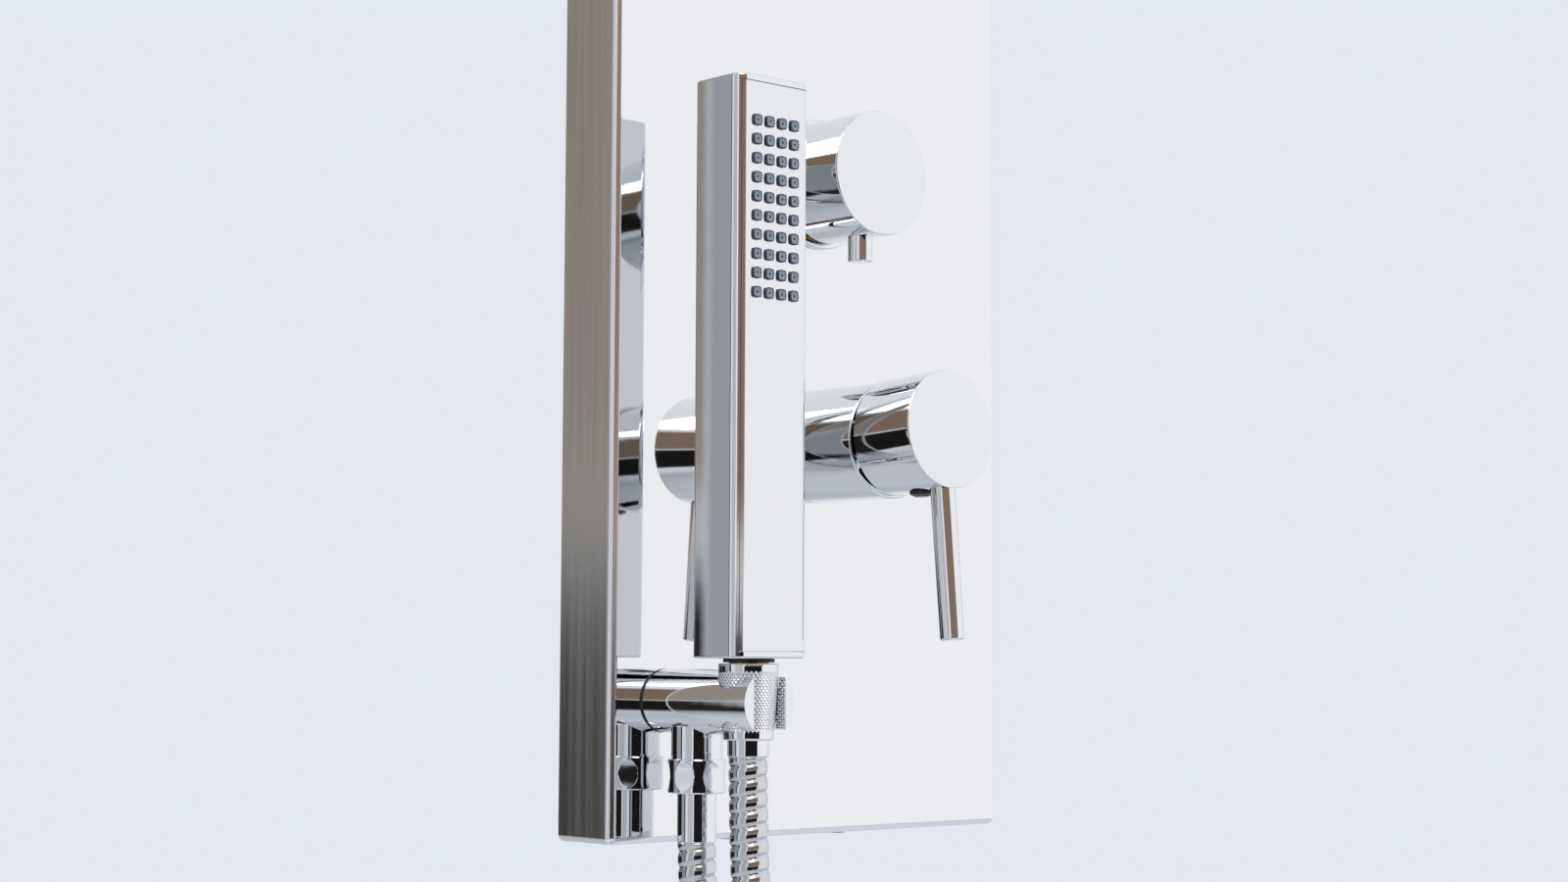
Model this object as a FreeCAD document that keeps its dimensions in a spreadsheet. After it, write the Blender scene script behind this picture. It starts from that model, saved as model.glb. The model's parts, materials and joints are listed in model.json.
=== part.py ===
import FreeCAD, Part
import math
import os
import re

import Sketcher

# Shower panel column, millimetres and degrees.
# X runs across the panel and Z is up. Y points into the wall: its face is y = 0, and the front faces -Y.
# z = 0 is the height of the two holes in the lower wall bracket.

V = FreeCAD.Vector
doc = FreeCAD.newDocument("ShowerPanelColumn")
sheet = doc.addObject("Spreadsheet::Sheet", "Sizes")

SIZES = {
    "Panel: a folded stainless tray, open to the wall": {
        "panel_width": 210,
        "panel_height": 1200,
        "panel_depth": 32,
        "panel_sheet": 1.2,
        "panel_bend": 3,
        "panel_drop": 18,
    },
    "Wall brackets and the bar that the panel hangs by": {
        "bracket_width": 120,
        "bracket_sheet": 2,
        "bracket_leg": 20,
        "lower_plate": 34,
        "upper_plate": 65,
        "fixing_spacing": 80,
        "fixing_hole": 3,
        "hanger_height": 25,
        "hanger_sheet": 2,
        "hanger_below_top": 90,
        "hanger_play": 1.5,
        "trough_lip": 12,
        "holes_above_bar": 25,
        "leg_screw_spacing": 60,
        "leg_screw_from_wall": 12,
        "leg_screw_radius": 2,
        "leg_screw_length": 8,
        "leg_screw_head": 3.5,
        "leg_screw_head_height": 1.6,
    },
    "Water ways behind the panel": {
        "pipe_depth": 15.4,
        "pipe_radius": 6,
        "pipe_wall": 1,
        "pipe_bend": 20,
        "stub_radius": 9,
        "socket_depth": 8,
        "valve_back": 4,
        "pipe_nut_radius": 11,
        "pipe_nut_height": 9,
        "panel_nut_radius": 15,
        "panel_nut_height": 4,
        "elbow_radius": 13,
        "elbow_stub": 26,
        "water_radius": 6,
    },
    "Fits: half-inch threads are drawn at their mean radius": {
        "thread_radius": 9.9,
        "thread_crest": 10.48,
        "thread_gap": 0.02,
        "slip_gap": 0.05,
        "turn_gap": 0.1,
        "hole_gap": 0.3,
    },
    "Diverter": {
        "diverter_height": 246,
        "diverter_hub": 18,
        "diverter_neck": 13,
        "diverter_neck_length": 14,
        "diverter_stub": 28,
        "diverter_cartridge": 10.4,
        "diverter_cartridge_back": 20,
        "diverter_cartridge_front": 16,
        "diverter_nut_radius": 17,
        "diverter_nut_height": 4,
        "rosette_radius": 26.7,
        "rosette_height": 3,
        "rosette_edge": 0.8,
        "spindle_radius": 4,
        "spindle_back": 12,
        "spindle_front": 30,
    },
    "Diverter knob and its pin": {
        "knob_radius": 25,
        "knob_length": 32.4,
        "knob_seam": 2.8,
        "knob_wall": 2.5,
        "knob_end": 3,
        "knob_edge": 0.6,
        "knob_hub": 7.5,
        "knob_hub_back": 20,
        "knob_pin_forward": 25.6,
        "knob_pin_radius": 5,
        "knob_pin_reach": 34.9,
        "knob_pin_edge": 0.8,
        "knob_pin_screw": 3,
    },
    "Mixer: body, sleeve and cartridge": {
        "mixer_height": 138.3,
        "mixer_hub": 23,
        "mixer_neck": 20.5,
        "mixer_neck_length": 34,
        "mixer_stub": 31,
        "mixer_bar": 13,
        "inlet_spacing": 100,
        "inlet_boss": 16,
        "inlet_engagement": 12,
        "water_bore": 5,
        "port_radius": 4,
        "port_circle": 9,
        "port_recess": 3,
        "cartridge_radius": 17.5,
        "cartridge_back": 4,
        "cartridge_length": 32,
        "cartridge_nut_hole": 12.5,
        "cartridge_nut_flange": 19.5,
        "cartridge_nut_rim": 2,
        "sleeve_radius": 23,
        "sleeve_length": 44.1,
        "sleeve_lip": 3,
        "sleeve_mouth": 14,
        "sleeve_edge": 0.8,
    },
    "Inlet nipples": {
        "nipple_collar": 12,
        "nipple_collar_height": 4,
        "nipple_thread": 14,
        "nipple_bore": 7,
    },
    "Mixer handle: it turns with the carrier and tilts on the stem pin": {
        "pivot_forward": 26,
        "carrier_radius": 10.9,
        "carrier_back": 16,
        "carrier_front": 32,
        "carrier_slot_back": 18.5,
        "carrier_slot_height": 18,
        "stem_side": 8,
        "stem_back": 6,
        "stem_front": 38,
        "stem_play": 0.3,
        "stem_pin_radius": 1.25,
        "stem_pin_length": 20,
        "handle_tilt": 3,
        "handle_radius": 23,
        "handle_wall": 1.8,
        "handle_face": 50.5,
        "handle_end": 12.5,
        "handle_edge": 0.4,
        "handle_seam": 2.3,
        "handle_hub": 7.5,
        "handle_hub_back": 28,
        "lever_forward": 45,
        "lever_rake": 2,
        "lever_radius": 5,
        "lever_tip_radius": 4.75,
        "lever_inner": 10,
        "lever_reach": 81.4,
        "lever_edge": 1,
        "set_screw_forward": 33.5,
        "set_screw_radius": 2,
        "set_screw_length": 4.4,
        "plug_radius": 5,
        "plug_stem": 3.5,
        "plug_stem_length": 2.5,
        "plug_height": 1.8,
    },
    "Arm: outlet for the hose and cradle for the hand shower": {
        "arm_height": 36,
        "arm_offset": 78,
        "arm_radius": 12.3,
        "arm_reach": 60.2,
        "gasket_height": 1,
        "tail_length": 11.5,
        "outlet_reach": 18.9,
        "outlet_drop": 28,
        "socket_reach": 48.3,
        "cradle_slot": 15.4,
        "cradle_gap": 0.3,
    },
    "Hose connection at the outlet": {
        "union_radius": 11.15,
        "union_height": 12.9,
        "union_floor": 2.5,
        "union_hole": 7,
        "union_below_outlet": 6.3,
        "facet_count": 6,
        "facet_floor": 10.4,
        "facet_cutter": 20,
        "washer_height": 2,
        "flange_height": 1.8,
        "flange_radius": 9,
        "ferrule_neck": 6.6,
        "ferrule_radius": 7.5,
        "ferrule_length": 18.4,
        "ferrule_bore": 4.5,
    },
    "Hose connection at the hand shower": {
        "cone_top": 11.55,
        "cone_bottom": 9.4,
        "cone_height": 28.3,
        "cone_below_axis": 13.7,
        "cone_shoulder": 13.7,
        "cone_hole": 8,
        "cone_edge": 0.5,
        "hand_washer_height": 2.4,
        "hand_washer_radius": 9.6,
        "hand_flange_height": 2,
        "hand_ferrule_radius": 7.8,
        "hand_ferrule_neck": 6.8,
        "hand_ferrule_length": 6.1,
    },
    "Hand shower": {
        "hand_width": 37,
        "hand_thick": 26.6,
        "hand_ahead": 13.8,
        "hand_length": 216.5,
        "hand_seam": 1.8,
        "hand_wall": 2.5,
        "hand_back_round": 4.5,
        "hand_front_round": 5,
        "hand_edge": 1,
        "swivel_radius": 9.85,
        "swivel_length": 9.1,
        "stem_neck": 7.5,
        "stem_tube": 4.5,
        "stem_tube_rise": 12,
        "stem_bore": 3.5,
        "seal_ring_radius": 9.6,
        "seal_ring_height": 1.4,
        "chamber_lift": 7,
        "chamber_wall": 1.5,
        "chamber_play": 0.2,
        "face_sink": 0.1,
        "face_plate": 2,
        "face_border": 2.8,
        "face_fall": 0.7,
        "face_gap": 0.1,
        "mat_sheet": 1.6,
        "nozzle_side": 4.3,
        "nozzle_gap": 0.1,
        "nozzle_stand": 1,
        "nozzle_columns": 4,
        "nozzle_rows": 10,
        "nozzle_across": 6.1,
        "nozzle_down": 7.15,
        "nozzle_below_top": 17.2,
    },
    "Hose: its route and coil are lists further down": {
        "hose_radius": 7.35,
        "coil_radius": 74,
        "coil_rise": 38.8,
        "coil_centre_depth": 65.6,
        "coil_centre_drop": 225,
        "tie_width": 20,
        "tie_sheet": 1.5,
        "tie_play": 1,
    },
    "Overhead shower": {
        "rain_below_top": 52,
        "rain_reach": 330,
        "rain_arm_radius": 11,
        "rain_arm_bend": 45,
        "rain_arm_drop": 25,
        "rain_flange_radius": 27,
        "rain_flange_height": 6,
        "ball_drop": 16,
        "ball_radius": 11,
        "ball_neck_engagement": 12,
        "ball_bore": 3,
        "seat_play": 0.06,
        "seat_radius": 12.5,
        "seat_half_height": 6,
        "collar_radius": 17.5,
        "collar_above": 8.5,
        "collar_below": 10,
        "collar_thread": 15,
        "boss_radius": 14.9,
        "boss_above": 0.5,
        "boss_below": 13.5,
        "head_width": 200,
        "head_height": 8,
        "head_top": 2,
        "head_wall": 1.5,
        "head_edge": 1,
        "head_rows": 8,
        "head_pitch": 22,
    },
}

row = 1
for title, group in SIZES.items():
    sheet.set("A%d" % row, title)
    row += 1
    for alias, size in group.items():
        sheet.set("A%d" % row, alias)
        sheet.set("B%d" % row, str(size))
        sheet.setAlias("B%d" % row, alias)
        row += 1
doc.recompute()

# Places that many pieces share, as formulas on the sheet's sizes
FRONT_Y = "(-panel_depth)"
PIPE_Y = "(-pipe_depth)"
PANEL_BOTTOM = "(-panel_drop)"
PANEL_TOP = "(panel_height - panel_drop)"
BAR_BOTTOM = "(panel_height - panel_drop - hanger_below_top - hanger_height)"
ARM_X = "(-arm_offset)"
OUTLET_Y = "(-panel_depth - outlet_reach)"
SOCKET_Y = "(-panel_depth - socket_reach)"
UNION_BOTTOM = "(arm_height - outlet_drop - union_below_outlet)"
CONE_BOTTOM = "(arm_height - cone_below_axis)"
STEM_BOTTOM = "(arm_height - cone_below_axis + cone_shoulder + hand_flange_height + hand_washer_height)"
HAND_BOTTOM = "(arm_height - cone_below_axis + cone_height + hand_seam)"
HAND_FRONT_Y = "(-panel_depth - socket_reach - hand_ahead)"
RAIN_Z = "(panel_height - panel_drop - rain_below_top)"
RAIN_Y = "(-panel_depth - rain_reach)"
BALL_Z = "(panel_height - panel_drop - rain_below_top - rain_arm_bend - rain_arm_drop - ball_drop)"
TAIL_Y = "(-panel_depth + tail_length)"
MIXER = ("0", FRONT_Y, "mixer_height")
DIVERTER = ("0", FRONT_Y, "diverter_height")

# Which way a piece's own axis points
AIM = {
    "up": FreeCAD.Rotation(V(1, 0, 0), 0),
    "down": FreeCAD.Rotation(V(1, 0, 0), 180),
    "front": FreeCAD.Rotation(V(1, 0, 0), 90),
    "back": FreeCAD.Rotation(V(1, 0, 0), -90),
    "right": FreeCAD.Rotation(V(0, 1, 0), 90),
    "left": FreeCAD.Rotation(V(0, 1, 0), -90),
}
STAND_UP = FreeCAD.Rotation(V(1, 0, 0), 90)

pieces = []


def bind(thing, prop, formula):
    """Ties one property to a formula in which every size stands for its cell in the sheet."""
    named = re.sub(r"\b[a-z]+(?:_[a-z]+)+\b", lambda word: "Sizes." + word.group(0), formula)
    thing.setExpression(prop, named)


def put(thing, at, turn=AIM["up"]):
    """Places a thing at three formulas, turned as told."""
    thing.Placement = FreeCAD.Placement(V(0, 0, 0), turn)
    for axis, formula in zip("xyz", at):
        bind(thing, "Placement.Base." + axis, formula)
    return thing


def lean(thing, at, angle):
    """Places a thing at three formulas, turned about the X axis by a formula."""
    put(thing, at, FreeCAD.Rotation(V(1, 0, 0), 1))
    bind(thing, "Placement.Rotation.Angle", angle)
    return thing


def piece(thing):
    """Counts a finished thing among the pieces that are written out."""
    thing.Label = thing.Name
    pieces.append(thing)
    return thing


def block(name, low, size):
    """A box from its low corner."""
    box = doc.addObject("Part::Box", name)
    for prop, formula in zip(("Length", "Width", "Height"), size):
        bind(box, prop, formula)
    return put(box, low)


def rod(name, direction, at, radius, length):
    """A plain cylinder that starts at a point."""
    cylinder = doc.addObject("Part::Cylinder", name)
    bind(cylinder, "Radius", radius)
    bind(cylinder, "Height", length)
    return put(cylinder, at, AIM[direction])


def ball(name, at, radius):
    """A sphere about a point."""
    sphere = doc.addObject("Part::Sphere", name)
    bind(sphere, "Radius", radius)
    return put(sphere, at)


def fuse(name, *parts):
    """Several things joined to one solid."""
    joined = doc.addObject("Part::MultiFuse", name)
    joined.Shapes = list(parts)
    return joined


def cut(name, base, *tools):
    """A thing with other things taken out of it."""
    made = doc.addObject("Part::Cut", name)
    made.Base = base
    made.Tool = tools[0] if len(tools) == 1 else fuse(name + "_tools", *tools)
    return made


def common(name, first, second):
    """What two things share."""
    made = doc.addObject("Part::Common", name)
    made.Base = first
    made.Tool = second
    return made


def together(name, *parts):
    """Identical small pieces that stay separate solids in one node."""
    made = doc.addObject("Part::Compound", name)
    made.Links = list(parts)
    return made


def outline(body, name, plane, corners):
    """A closed sketch of straight sides on one of the body's own planes, each corner tied to the sheet."""
    sketch = body.newObject("Sketcher::SketchObject", name)
    support = next(feature for feature in body.Origin.OriginFeatures if feature.Role == plane)
    sketch.AttachmentSupport = [(support, "")]
    sketch.MapMode = "FlatFace"
    count = len(corners)
    turns = [2 * math.pi * index / count for index in range(count)]
    start = [V(math.cos(turn), math.sin(turn), 0) for turn in turns]
    for index in range(count):
        sketch.addGeometry(Part.LineSegment(start[index], start[(index + 1) % count]), False)
    for index in range(count):
        sketch.addConstraint(Sketcher.Constraint("Coincident", index, 2, (index + 1) % count, 1))
    for index, (across, along) in enumerate(corners):
        for kind, formula in (("DistanceX", across), ("DistanceY", along)):
            place = sketch.addConstraint(Sketcher.Constraint(kind, -1, 1, index, 1, 1.0))
            bind(sketch, "Constraints[%d]" % place, formula)
    return sketch


def rectangle(low_across, low_along, high_across, high_along):
    """The four corners of a rectangle."""
    return [
        (low_across, low_along),
        (high_across, low_along),
        (high_across, high_along),
        (low_across, high_along),
    ]


def turned_body(name, profile):
    """A body turned about its own Y axis from (along the axis, radius) corners, and its sketch."""
    body = doc.addObject("PartDesign::Body", name)
    section = outline(body, name + "_section", "XY_Plane", [(radius, along) for along, radius in profile])
    turning = body.newObject("PartDesign::Revolution", name + "_turning")
    turning.Profile = section
    turning.ReferenceAxis = (section, ["V_Axis"])
    turning.Angle = 360
    return body, section


def turned(name, direction, at, profile):
    """A turned body at a point with its axis pointing one way."""
    body, _ = turned_body(name, profile)
    return put(body, at, AIM[direction].multiply(STAND_UP))


def ring(name, direction, at, start, end, inner, outer):
    """A turned ring between two places on its axis, solid where its inner radius is 0."""
    return turned(name, direction, at, [(start, inner), (start, outer), (end, outer), (end, inner)])


def hex_nut(name, direction, at, radius, height, hole):
    """A six-sided nut, by its radius over the corners."""
    prism = doc.addObject("Part::Prism", name + "_prism")
    prism.Polygon = 6
    bind(prism, "Circumradius", radius)
    bind(prism, "Height", height)
    return put(cut(name, prism, rod(name + "_hole", "up", ("0", "0", "0"), hole, height)), at, AIM[direction])


def rounded_block(name, at, width, depth, height, roundings):
    """A block drawn from the front, its lower front edge's middle at the point.

    roundings holds (test, radius) pairs: the edges of the block that pass the test get that radius.
    """
    body = doc.addObject("PartDesign::Body", name)
    half = "(%s) / 2" % width
    face = outline(body, name + "_face", "XZ_Plane", rectangle("-" + half, "0", half, height))
    feature = body.newObject("PartDesign::Pad", name + "_pad")
    feature.Profile = face
    feature.Reversed = True
    bind(feature, "Length", depth)
    for number, (test, radius) in enumerate(roundings):
        doc.recompute()
        edges = ["Edge%d" % (i + 1) for i, edge in enumerate(feature.Shape.Edges) if test(edge.BoundBox)]
        rounding = body.newObject("PartDesign::Fillet", "%s_round_%d" % (name, number))
        rounding.Base = (feature, edges)
        bind(rounding, "Radius", radius)
        feature = rounding
    return put(body, at)


def patterned(body, feature, sketch, columns, rows, across, down):
    """Repeats a feature over columns and rows from its own corner of the block."""
    grid = body.newObject("PartDesign::MultiTransform", feature.Name + "_grid")
    grid.Originals = [feature]
    lines = []
    for axis, count, pitch in (("H_Axis", columns, across), ("V_Axis", rows, down)):
        line = body.newObject("PartDesign::LinearPattern", feature.Name + "_" + axis)
        line.Direction = (sketch, [axis])
        bind(line, "Length", "(%s - 1) * (%s)" % (count, pitch))
        bind(line, "Occurrences", count)
        lines.append(line)
    grid.Transformations = lines
    body.Tip = grid


def first_nozzle(side, columns, rows, across, down, top):
    """The corners of the lowest left square of a centred block of nozzles whose top row is at a height."""
    left = "-(%s - 1) * (%s) / 2 - (%s) / 2" % (columns, across, side)
    low = "(%s) - (%s - 1) * (%s) - (%s) / 2" % (top, rows, down, side)
    return rectangle(left, low, "%s + (%s)" % (left, side), "%s + (%s)" % (low, side))


def water_port(name, direction, at, reach):
    """The hollow of a pipe connection: the bore, and the socket that the pipe's end slips into."""
    bore = "pipe_radius - pipe_wall"
    socket = "pipe_radius + slip_gap"
    shoulder = "(%s) - socket_depth" % reach
    return turned(
        name,
        direction,
        at,
        [("0", "0"), ("0", bore), (shoulder, bore), (shoulder, socket), (reach, socket), (reach, "0")],
    )


def pipe_nut(name, direction, at):
    """The nut that holds a pipe's end in its socket."""
    return hex_nut(name, direction, at, "pipe_nut_radius", "pipe_nut_height", "pipe_radius + slip_gap")


def straight_pipe(name, low, high):
    """An upright pipe in the middle of the panel between two heights."""
    at = ("0", PIPE_Y, low)
    length = "(%s) - (%s)" % (high, low)
    return ring(name, "up", at, "0", length, "pipe_radius - pipe_wall", "pipe_radius")


# ---------------------------------------------------------------- panel, brackets and hanger bar


def panel():
    """The tray: a rounded block less a smaller one, with holes for the valves, the arms and the screws."""

    def not_at_the_back(box):
        return box.YMin < sheet.panel_depth / 2

    outside = rounded_block(
        "panel_outside",
        ("0", FRONT_Y, PANEL_BOTTOM),
        "panel_width",
        "panel_depth",
        "panel_height",
        [(not_at_the_back, "panel_bend")],
    )
    inside = rounded_block(
        "panel_inside",
        ("0", FRONT_Y + " + panel_sheet", PANEL_BOTTOM + " + panel_sheet"),
        "panel_width - 2 * panel_sheet",
        "panel_depth - panel_sheet",
        "panel_height - 2 * panel_sheet",
        [(not_at_the_back, "panel_bend - panel_sheet")],
    )
    before = FRONT_Y + " - panel_sheet"
    through = "3 * panel_sheet"
    holes = [
        rod("mixer_hole", "back", ("0", before, "mixer_height"), "mixer_neck + hole_gap", through),
        rod("diverter_hole", "back", ("0", before, "diverter_height"), "diverter_neck + hole_gap", through),
        rod("arm_hole", "back", (ARM_X, before, "arm_height"), "thread_radius + hole_gap", through),
        rod("rain_hole", "back", ("0", before, RAIN_Z), "thread_radius + hole_gap", through),
    ]
    for side, sign in (("left", "-"), ("right", "")):
        at = (sign + "leg_screw_spacing / 2", "-leg_screw_from_wall", PANEL_BOTTOM + " - panel_sheet")
        holes.append(rod("bottom_hole_" + side, "up", at, "leg_screw_radius + hole_gap", through))
    piece(cut("panel_shell", outside, inside, *holes))


def bracket_holes(name, height):
    """The pair of wall screw holes in a bracket."""
    return [
        rod(
            name + "_hole_" + side,
            "back",
            (sign + "fixing_spacing / 2", "-2 * bracket_sheet", height),
            "fixing_hole",
            "3 * bracket_sheet",
        )
        for side, sign in (("left", "-"), ("right", ""))
    ]


def lower_bracket():
    """An angle on the wall whose leg lies on the tray's bottom, and the two screws that hold it there."""
    corner = ("-bracket_width / 2", "-bracket_sheet", PANEL_BOTTOM + " + panel_sheet")
    plate = block("lower_plate", corner, ("bracket_width", "bracket_sheet", "lower_plate"))
    leg_corner = ("-bracket_width / 2", "-bracket_leg", PANEL_BOTTOM + " + panel_sheet")
    leg = block("lower_leg", leg_corner, ("bracket_width", "bracket_leg", "bracket_sheet"))
    holes = bracket_holes("lower", "0")
    screws = []
    profile = [
        ("-leg_screw_head_height", "0"),
        ("-leg_screw_head_height", "leg_screw_head"),
        ("0", "leg_screw_head"),
        ("0", "leg_screw_radius"),
        ("leg_screw_length", "leg_screw_radius"),
        ("leg_screw_length", "0"),
    ]
    for side, sign in (("left", "-"), ("right", "")):
        at = (sign + "leg_screw_spacing / 2", "-leg_screw_from_wall", PANEL_BOTTOM)
        holes.append(rod("leg_hole_" + side, "up", at, "leg_screw_radius + slip_gap", "leg_screw_length"))
        screws.append(turned("leg_screw_" + side, "up", at, profile))
    piece(cut("lower_wall_bracket", fuse("lower_angle", plate, leg), *holes))
    piece(together("lower_fixing_screws", *screws))


def upper_bracket():
    """A J-shaped plate on the wall, and the bar across the tray that rests in its trough."""
    reach = "(2 * bracket_sheet + hanger_sheet + 2 * hanger_play)"
    low = BAR_BOTTOM + " - bracket_sheet"
    left = "-bracket_width / 2"
    plate_size = ("bracket_width", "bracket_sheet", "upper_plate")
    plate = block("upper_plate", (left, "-bracket_sheet", low), plate_size)
    floor = block("trough_floor", (left, "-" + reach, low), ("bracket_width", reach, "bracket_sheet"))
    lip = block("trough_lip", (left, "-" + reach, low), ("bracket_width", "bracket_sheet", "trough_lip"))
    holes = bracket_holes("upper", BAR_BOTTOM + " + hanger_height + holes_above_bar")
    piece(cut("upper_wall_bracket", fuse("upper_profile", plate, floor, lip), *holes))
    piece(
        block(
            "hanger_bar",
            ("-panel_width / 2 + panel_sheet", "-(bracket_sheet + hanger_play + hanger_sheet)", BAR_BOTTOM),
            ("panel_width - 2 * panel_sheet", "hanger_sheet", "hanger_height"),
        )
    )


# ---------------------------------------------------------------- diverter


def diverter_valve():
    """The brass valve behind the panel: its neck comes through, and three stubs take the pipes."""
    hub = turned(
        "diverter_hub_turned",
        "front",
        DIVERTER,
        [
            ("valve_back - panel_depth", "0"),
            ("valve_back - panel_depth", "diverter_hub"),
            ("-panel_sheet", "diverter_hub"),
            ("-panel_sheet", "diverter_neck"),
            ("diverter_neck_length", "diverter_neck"),
            ("diverter_neck_length", "0"),
        ],
    )
    axis = ("0", PIPE_Y, "diverter_height")
    sides = ("up", "down", "left")
    stubs = [rod("diverter_stub_" + side, side, axis, "stub_radius", "diverter_stub") for side in sides]
    ports = [water_port("diverter_port_" + side, side, axis, "diverter_stub") for side in sides]
    cavity = ring(
        "diverter_cavity",
        "front",
        DIVERTER,
        "-diverter_cartridge_back",
        "diverter_neck_length",
        "0",
        "diverter_cartridge + slip_gap",
    )
    piece(cut("diverter_body", fuse("diverter_casting", hub, *stubs), cavity, *ports))


def diverter_fittings():
    """What sits on the valve's neck in front of the panel, and the cartridge and spindle in it."""
    piece(
        turned(
            "diverter_rosette",
            "front",
            DIVERTER,
            [
                ("0", "diverter_neck + hole_gap"),
                ("0", "rosette_radius"),
                ("rosette_height - rosette_edge", "rosette_radius"),
                ("rosette_height", "rosette_radius - rosette_edge"),
                ("rosette_height", "diverter_neck + hole_gap"),
            ],
        )
    )
    at = ("0", FRONT_Y + " - rosette_height", "diverter_height")
    hole = "diverter_neck + slip_gap"
    piece(hex_nut("diverter_mounting_nut", "front", at, "diverter_nut_radius", "diverter_nut_height", hole))
    piece(
        turned(
            "diverter_cartridge",
            "front",
            DIVERTER,
            [
                ("-diverter_cartridge_back", "0"),
                ("-diverter_cartridge_back", "diverter_cartridge"),
                ("diverter_cartridge_front", "diverter_cartridge"),
                ("diverter_cartridge_front", "spindle_radius + slip_gap"),
                ("spindle_back - turn_gap", "spindle_radius + slip_gap"),
                ("spindle_back - turn_gap", "0"),
            ],
        )
    )
    piece(ring("diverter_spindle", "front", DIVERTER, "spindle_back", "spindle_front", "0", "spindle_radius"))


def diverter_knob():
    """The hollow knob on the spindle, and the pin that is screwed through its skirt into its hub."""
    back = "(rosette_height + knob_seam)"
    face = "(rosette_height + knob_seam + knob_length)"
    bore = "spindle_radius + slip_gap"
    bore_end = "spindle_front + slip_gap"
    shell = turned(
        "knob_shell",
        "front",
        DIVERTER,
        [
            (bore_end, "0"),
            (face, "0"),
            (face, "knob_radius - knob_edge"),
            (face + " - knob_edge", "knob_radius"),
            (back, "knob_radius"),
            (back, "knob_radius - knob_wall"),
            (face + " - knob_end", "knob_radius - knob_wall"),
            (face + " - knob_end", "knob_hub"),
            ("knob_hub_back", "knob_hub"),
            ("knob_hub_back", bore),
            (bore_end, bore),
        ],
    )
    at = ("0", FRONT_Y + " - knob_pin_forward", "diverter_height")
    screw_start = "spindle_radius + slip_gap"
    shoulder = "knob_hub + slip_gap"
    hole = turned(
        "knob_pin_hole",
        "down",
        at,
        [
            ("0", "0"),
            ("0", "knob_pin_screw + slip_gap"),
            (shoulder, "knob_pin_screw + slip_gap"),
            (shoulder, "knob_pin_radius + slip_gap"),
            ("knob_pin_reach", "knob_pin_radius + slip_gap"),
            ("knob_pin_reach", "0"),
        ],
    )
    piece(cut("diverter_knob", shell, hole))
    piece(
        turned(
            "diverter_pin",
            "down",
            at,
            [
                (screw_start, "0"),
                (screw_start, "knob_pin_screw"),
                (shoulder, "knob_pin_screw"),
                (shoulder, "knob_pin_radius"),
                ("knob_pin_reach - knob_pin_edge", "knob_pin_radius"),
                ("knob_pin_reach", "knob_pin_radius - knob_pin_edge"),
                ("knob_pin_reach", "0"),
            ],
        )
    )


# ---------------------------------------------------------------- mixer


def mixer_valve():
    """The brass mixer behind the panel: a bar with two inlets, a neck through the panel, an outlet on top."""
    hub = turned(
        "mixer_hub_turned",
        "front",
        MIXER,
        [
            ("valve_back - panel_depth", "0"),
            ("valve_back - panel_depth", "mixer_hub"),
            ("-panel_sheet", "mixer_hub"),
            ("-panel_sheet", "mixer_neck"),
            ("mixer_neck_length", "mixer_neck"),
            ("mixer_neck_length", "0"),
        ],
    )
    axis = ("0", PIPE_Y, "mixer_height")
    solids = [hub, rod("mixer_outlet_stub", "up", axis, "stub_radius", "mixer_stub")]
    above = ("0", PIPE_Y, "mixer_height + port_circle")
    hollows = [
        water_port("mixer_outlet", "up", above, "mixer_stub - port_circle"),
        rod("mixed_port", "front", above, "port_radius", "panel_depth - pipe_depth"),
        ring(
            "cartridge_cavity",
            "front",
            MIXER,
            "-cartridge_back",
            "mixer_neck_length",
            "0",
            "cartridge_radius + slip_gap",
        ),
    ]
    boss_shoulder = "inlet_boss - inlet_engagement"
    nipple_socket = "thread_crest + slip_gap"
    for name, side, inward, sign in (("hot", "left", "right", "-"), ("cold", "right", "left", "")):
        end = (sign + "inlet_spacing / 2", PIPE_Y, "mixer_height")
        port = (sign + "port_circle", PIPE_Y, "mixer_height")
        solids += [
            rod(name + "_bar", side, axis, "mixer_bar", "inlet_spacing / 2"),
            rod(name + "_boss", "down", end, "mixer_bar", "inlet_boss"),
            ball(name + "_corner", end, "mixer_bar"),
        ]
        hollows += [
            rod(name + "_bore", inward, end, "water_bore", "inlet_spacing / 2 - port_circle"),
            rod(name + "_port", "front", port, "port_radius", "panel_depth - pipe_depth"),
            turned(
                name + "_inlet",
                "down",
                end,
                [
                    ("0", "0"),
                    ("0", "water_bore"),
                    (boss_shoulder, "water_bore"),
                    (boss_shoulder, nipple_socket),
                    ("inlet_boss", nipple_socket),
                    ("inlet_boss", "0"),
                ],
            ),
        ]
        nipple(name + "_inlet_nipple", end)
    piece(cut("mixer_body", fuse("mixer_casting", *solids), *hollows))


def nipple(name, at):
    """A half-inch threaded nipple in an inlet boss, for the supply hose from the wall."""
    collar_top = "inlet_boss"
    collar_bottom = "inlet_boss + nipple_collar_height"
    foot = "inlet_boss + nipple_collar_height + nipple_thread"
    piece(
        turned(
            name,
            "down",
            at,
            [
                ("inlet_boss - inlet_engagement", "nipple_bore"),
                ("inlet_boss - inlet_engagement", "thread_crest"),
                (collar_top, "thread_crest"),
                (collar_top, "nipple_collar"),
                (collar_bottom, "nipple_collar"),
                (collar_bottom, "thread_crest"),
                (foot, "thread_crest"),
                (foot, "nipple_bore"),
            ],
        )
    )


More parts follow.
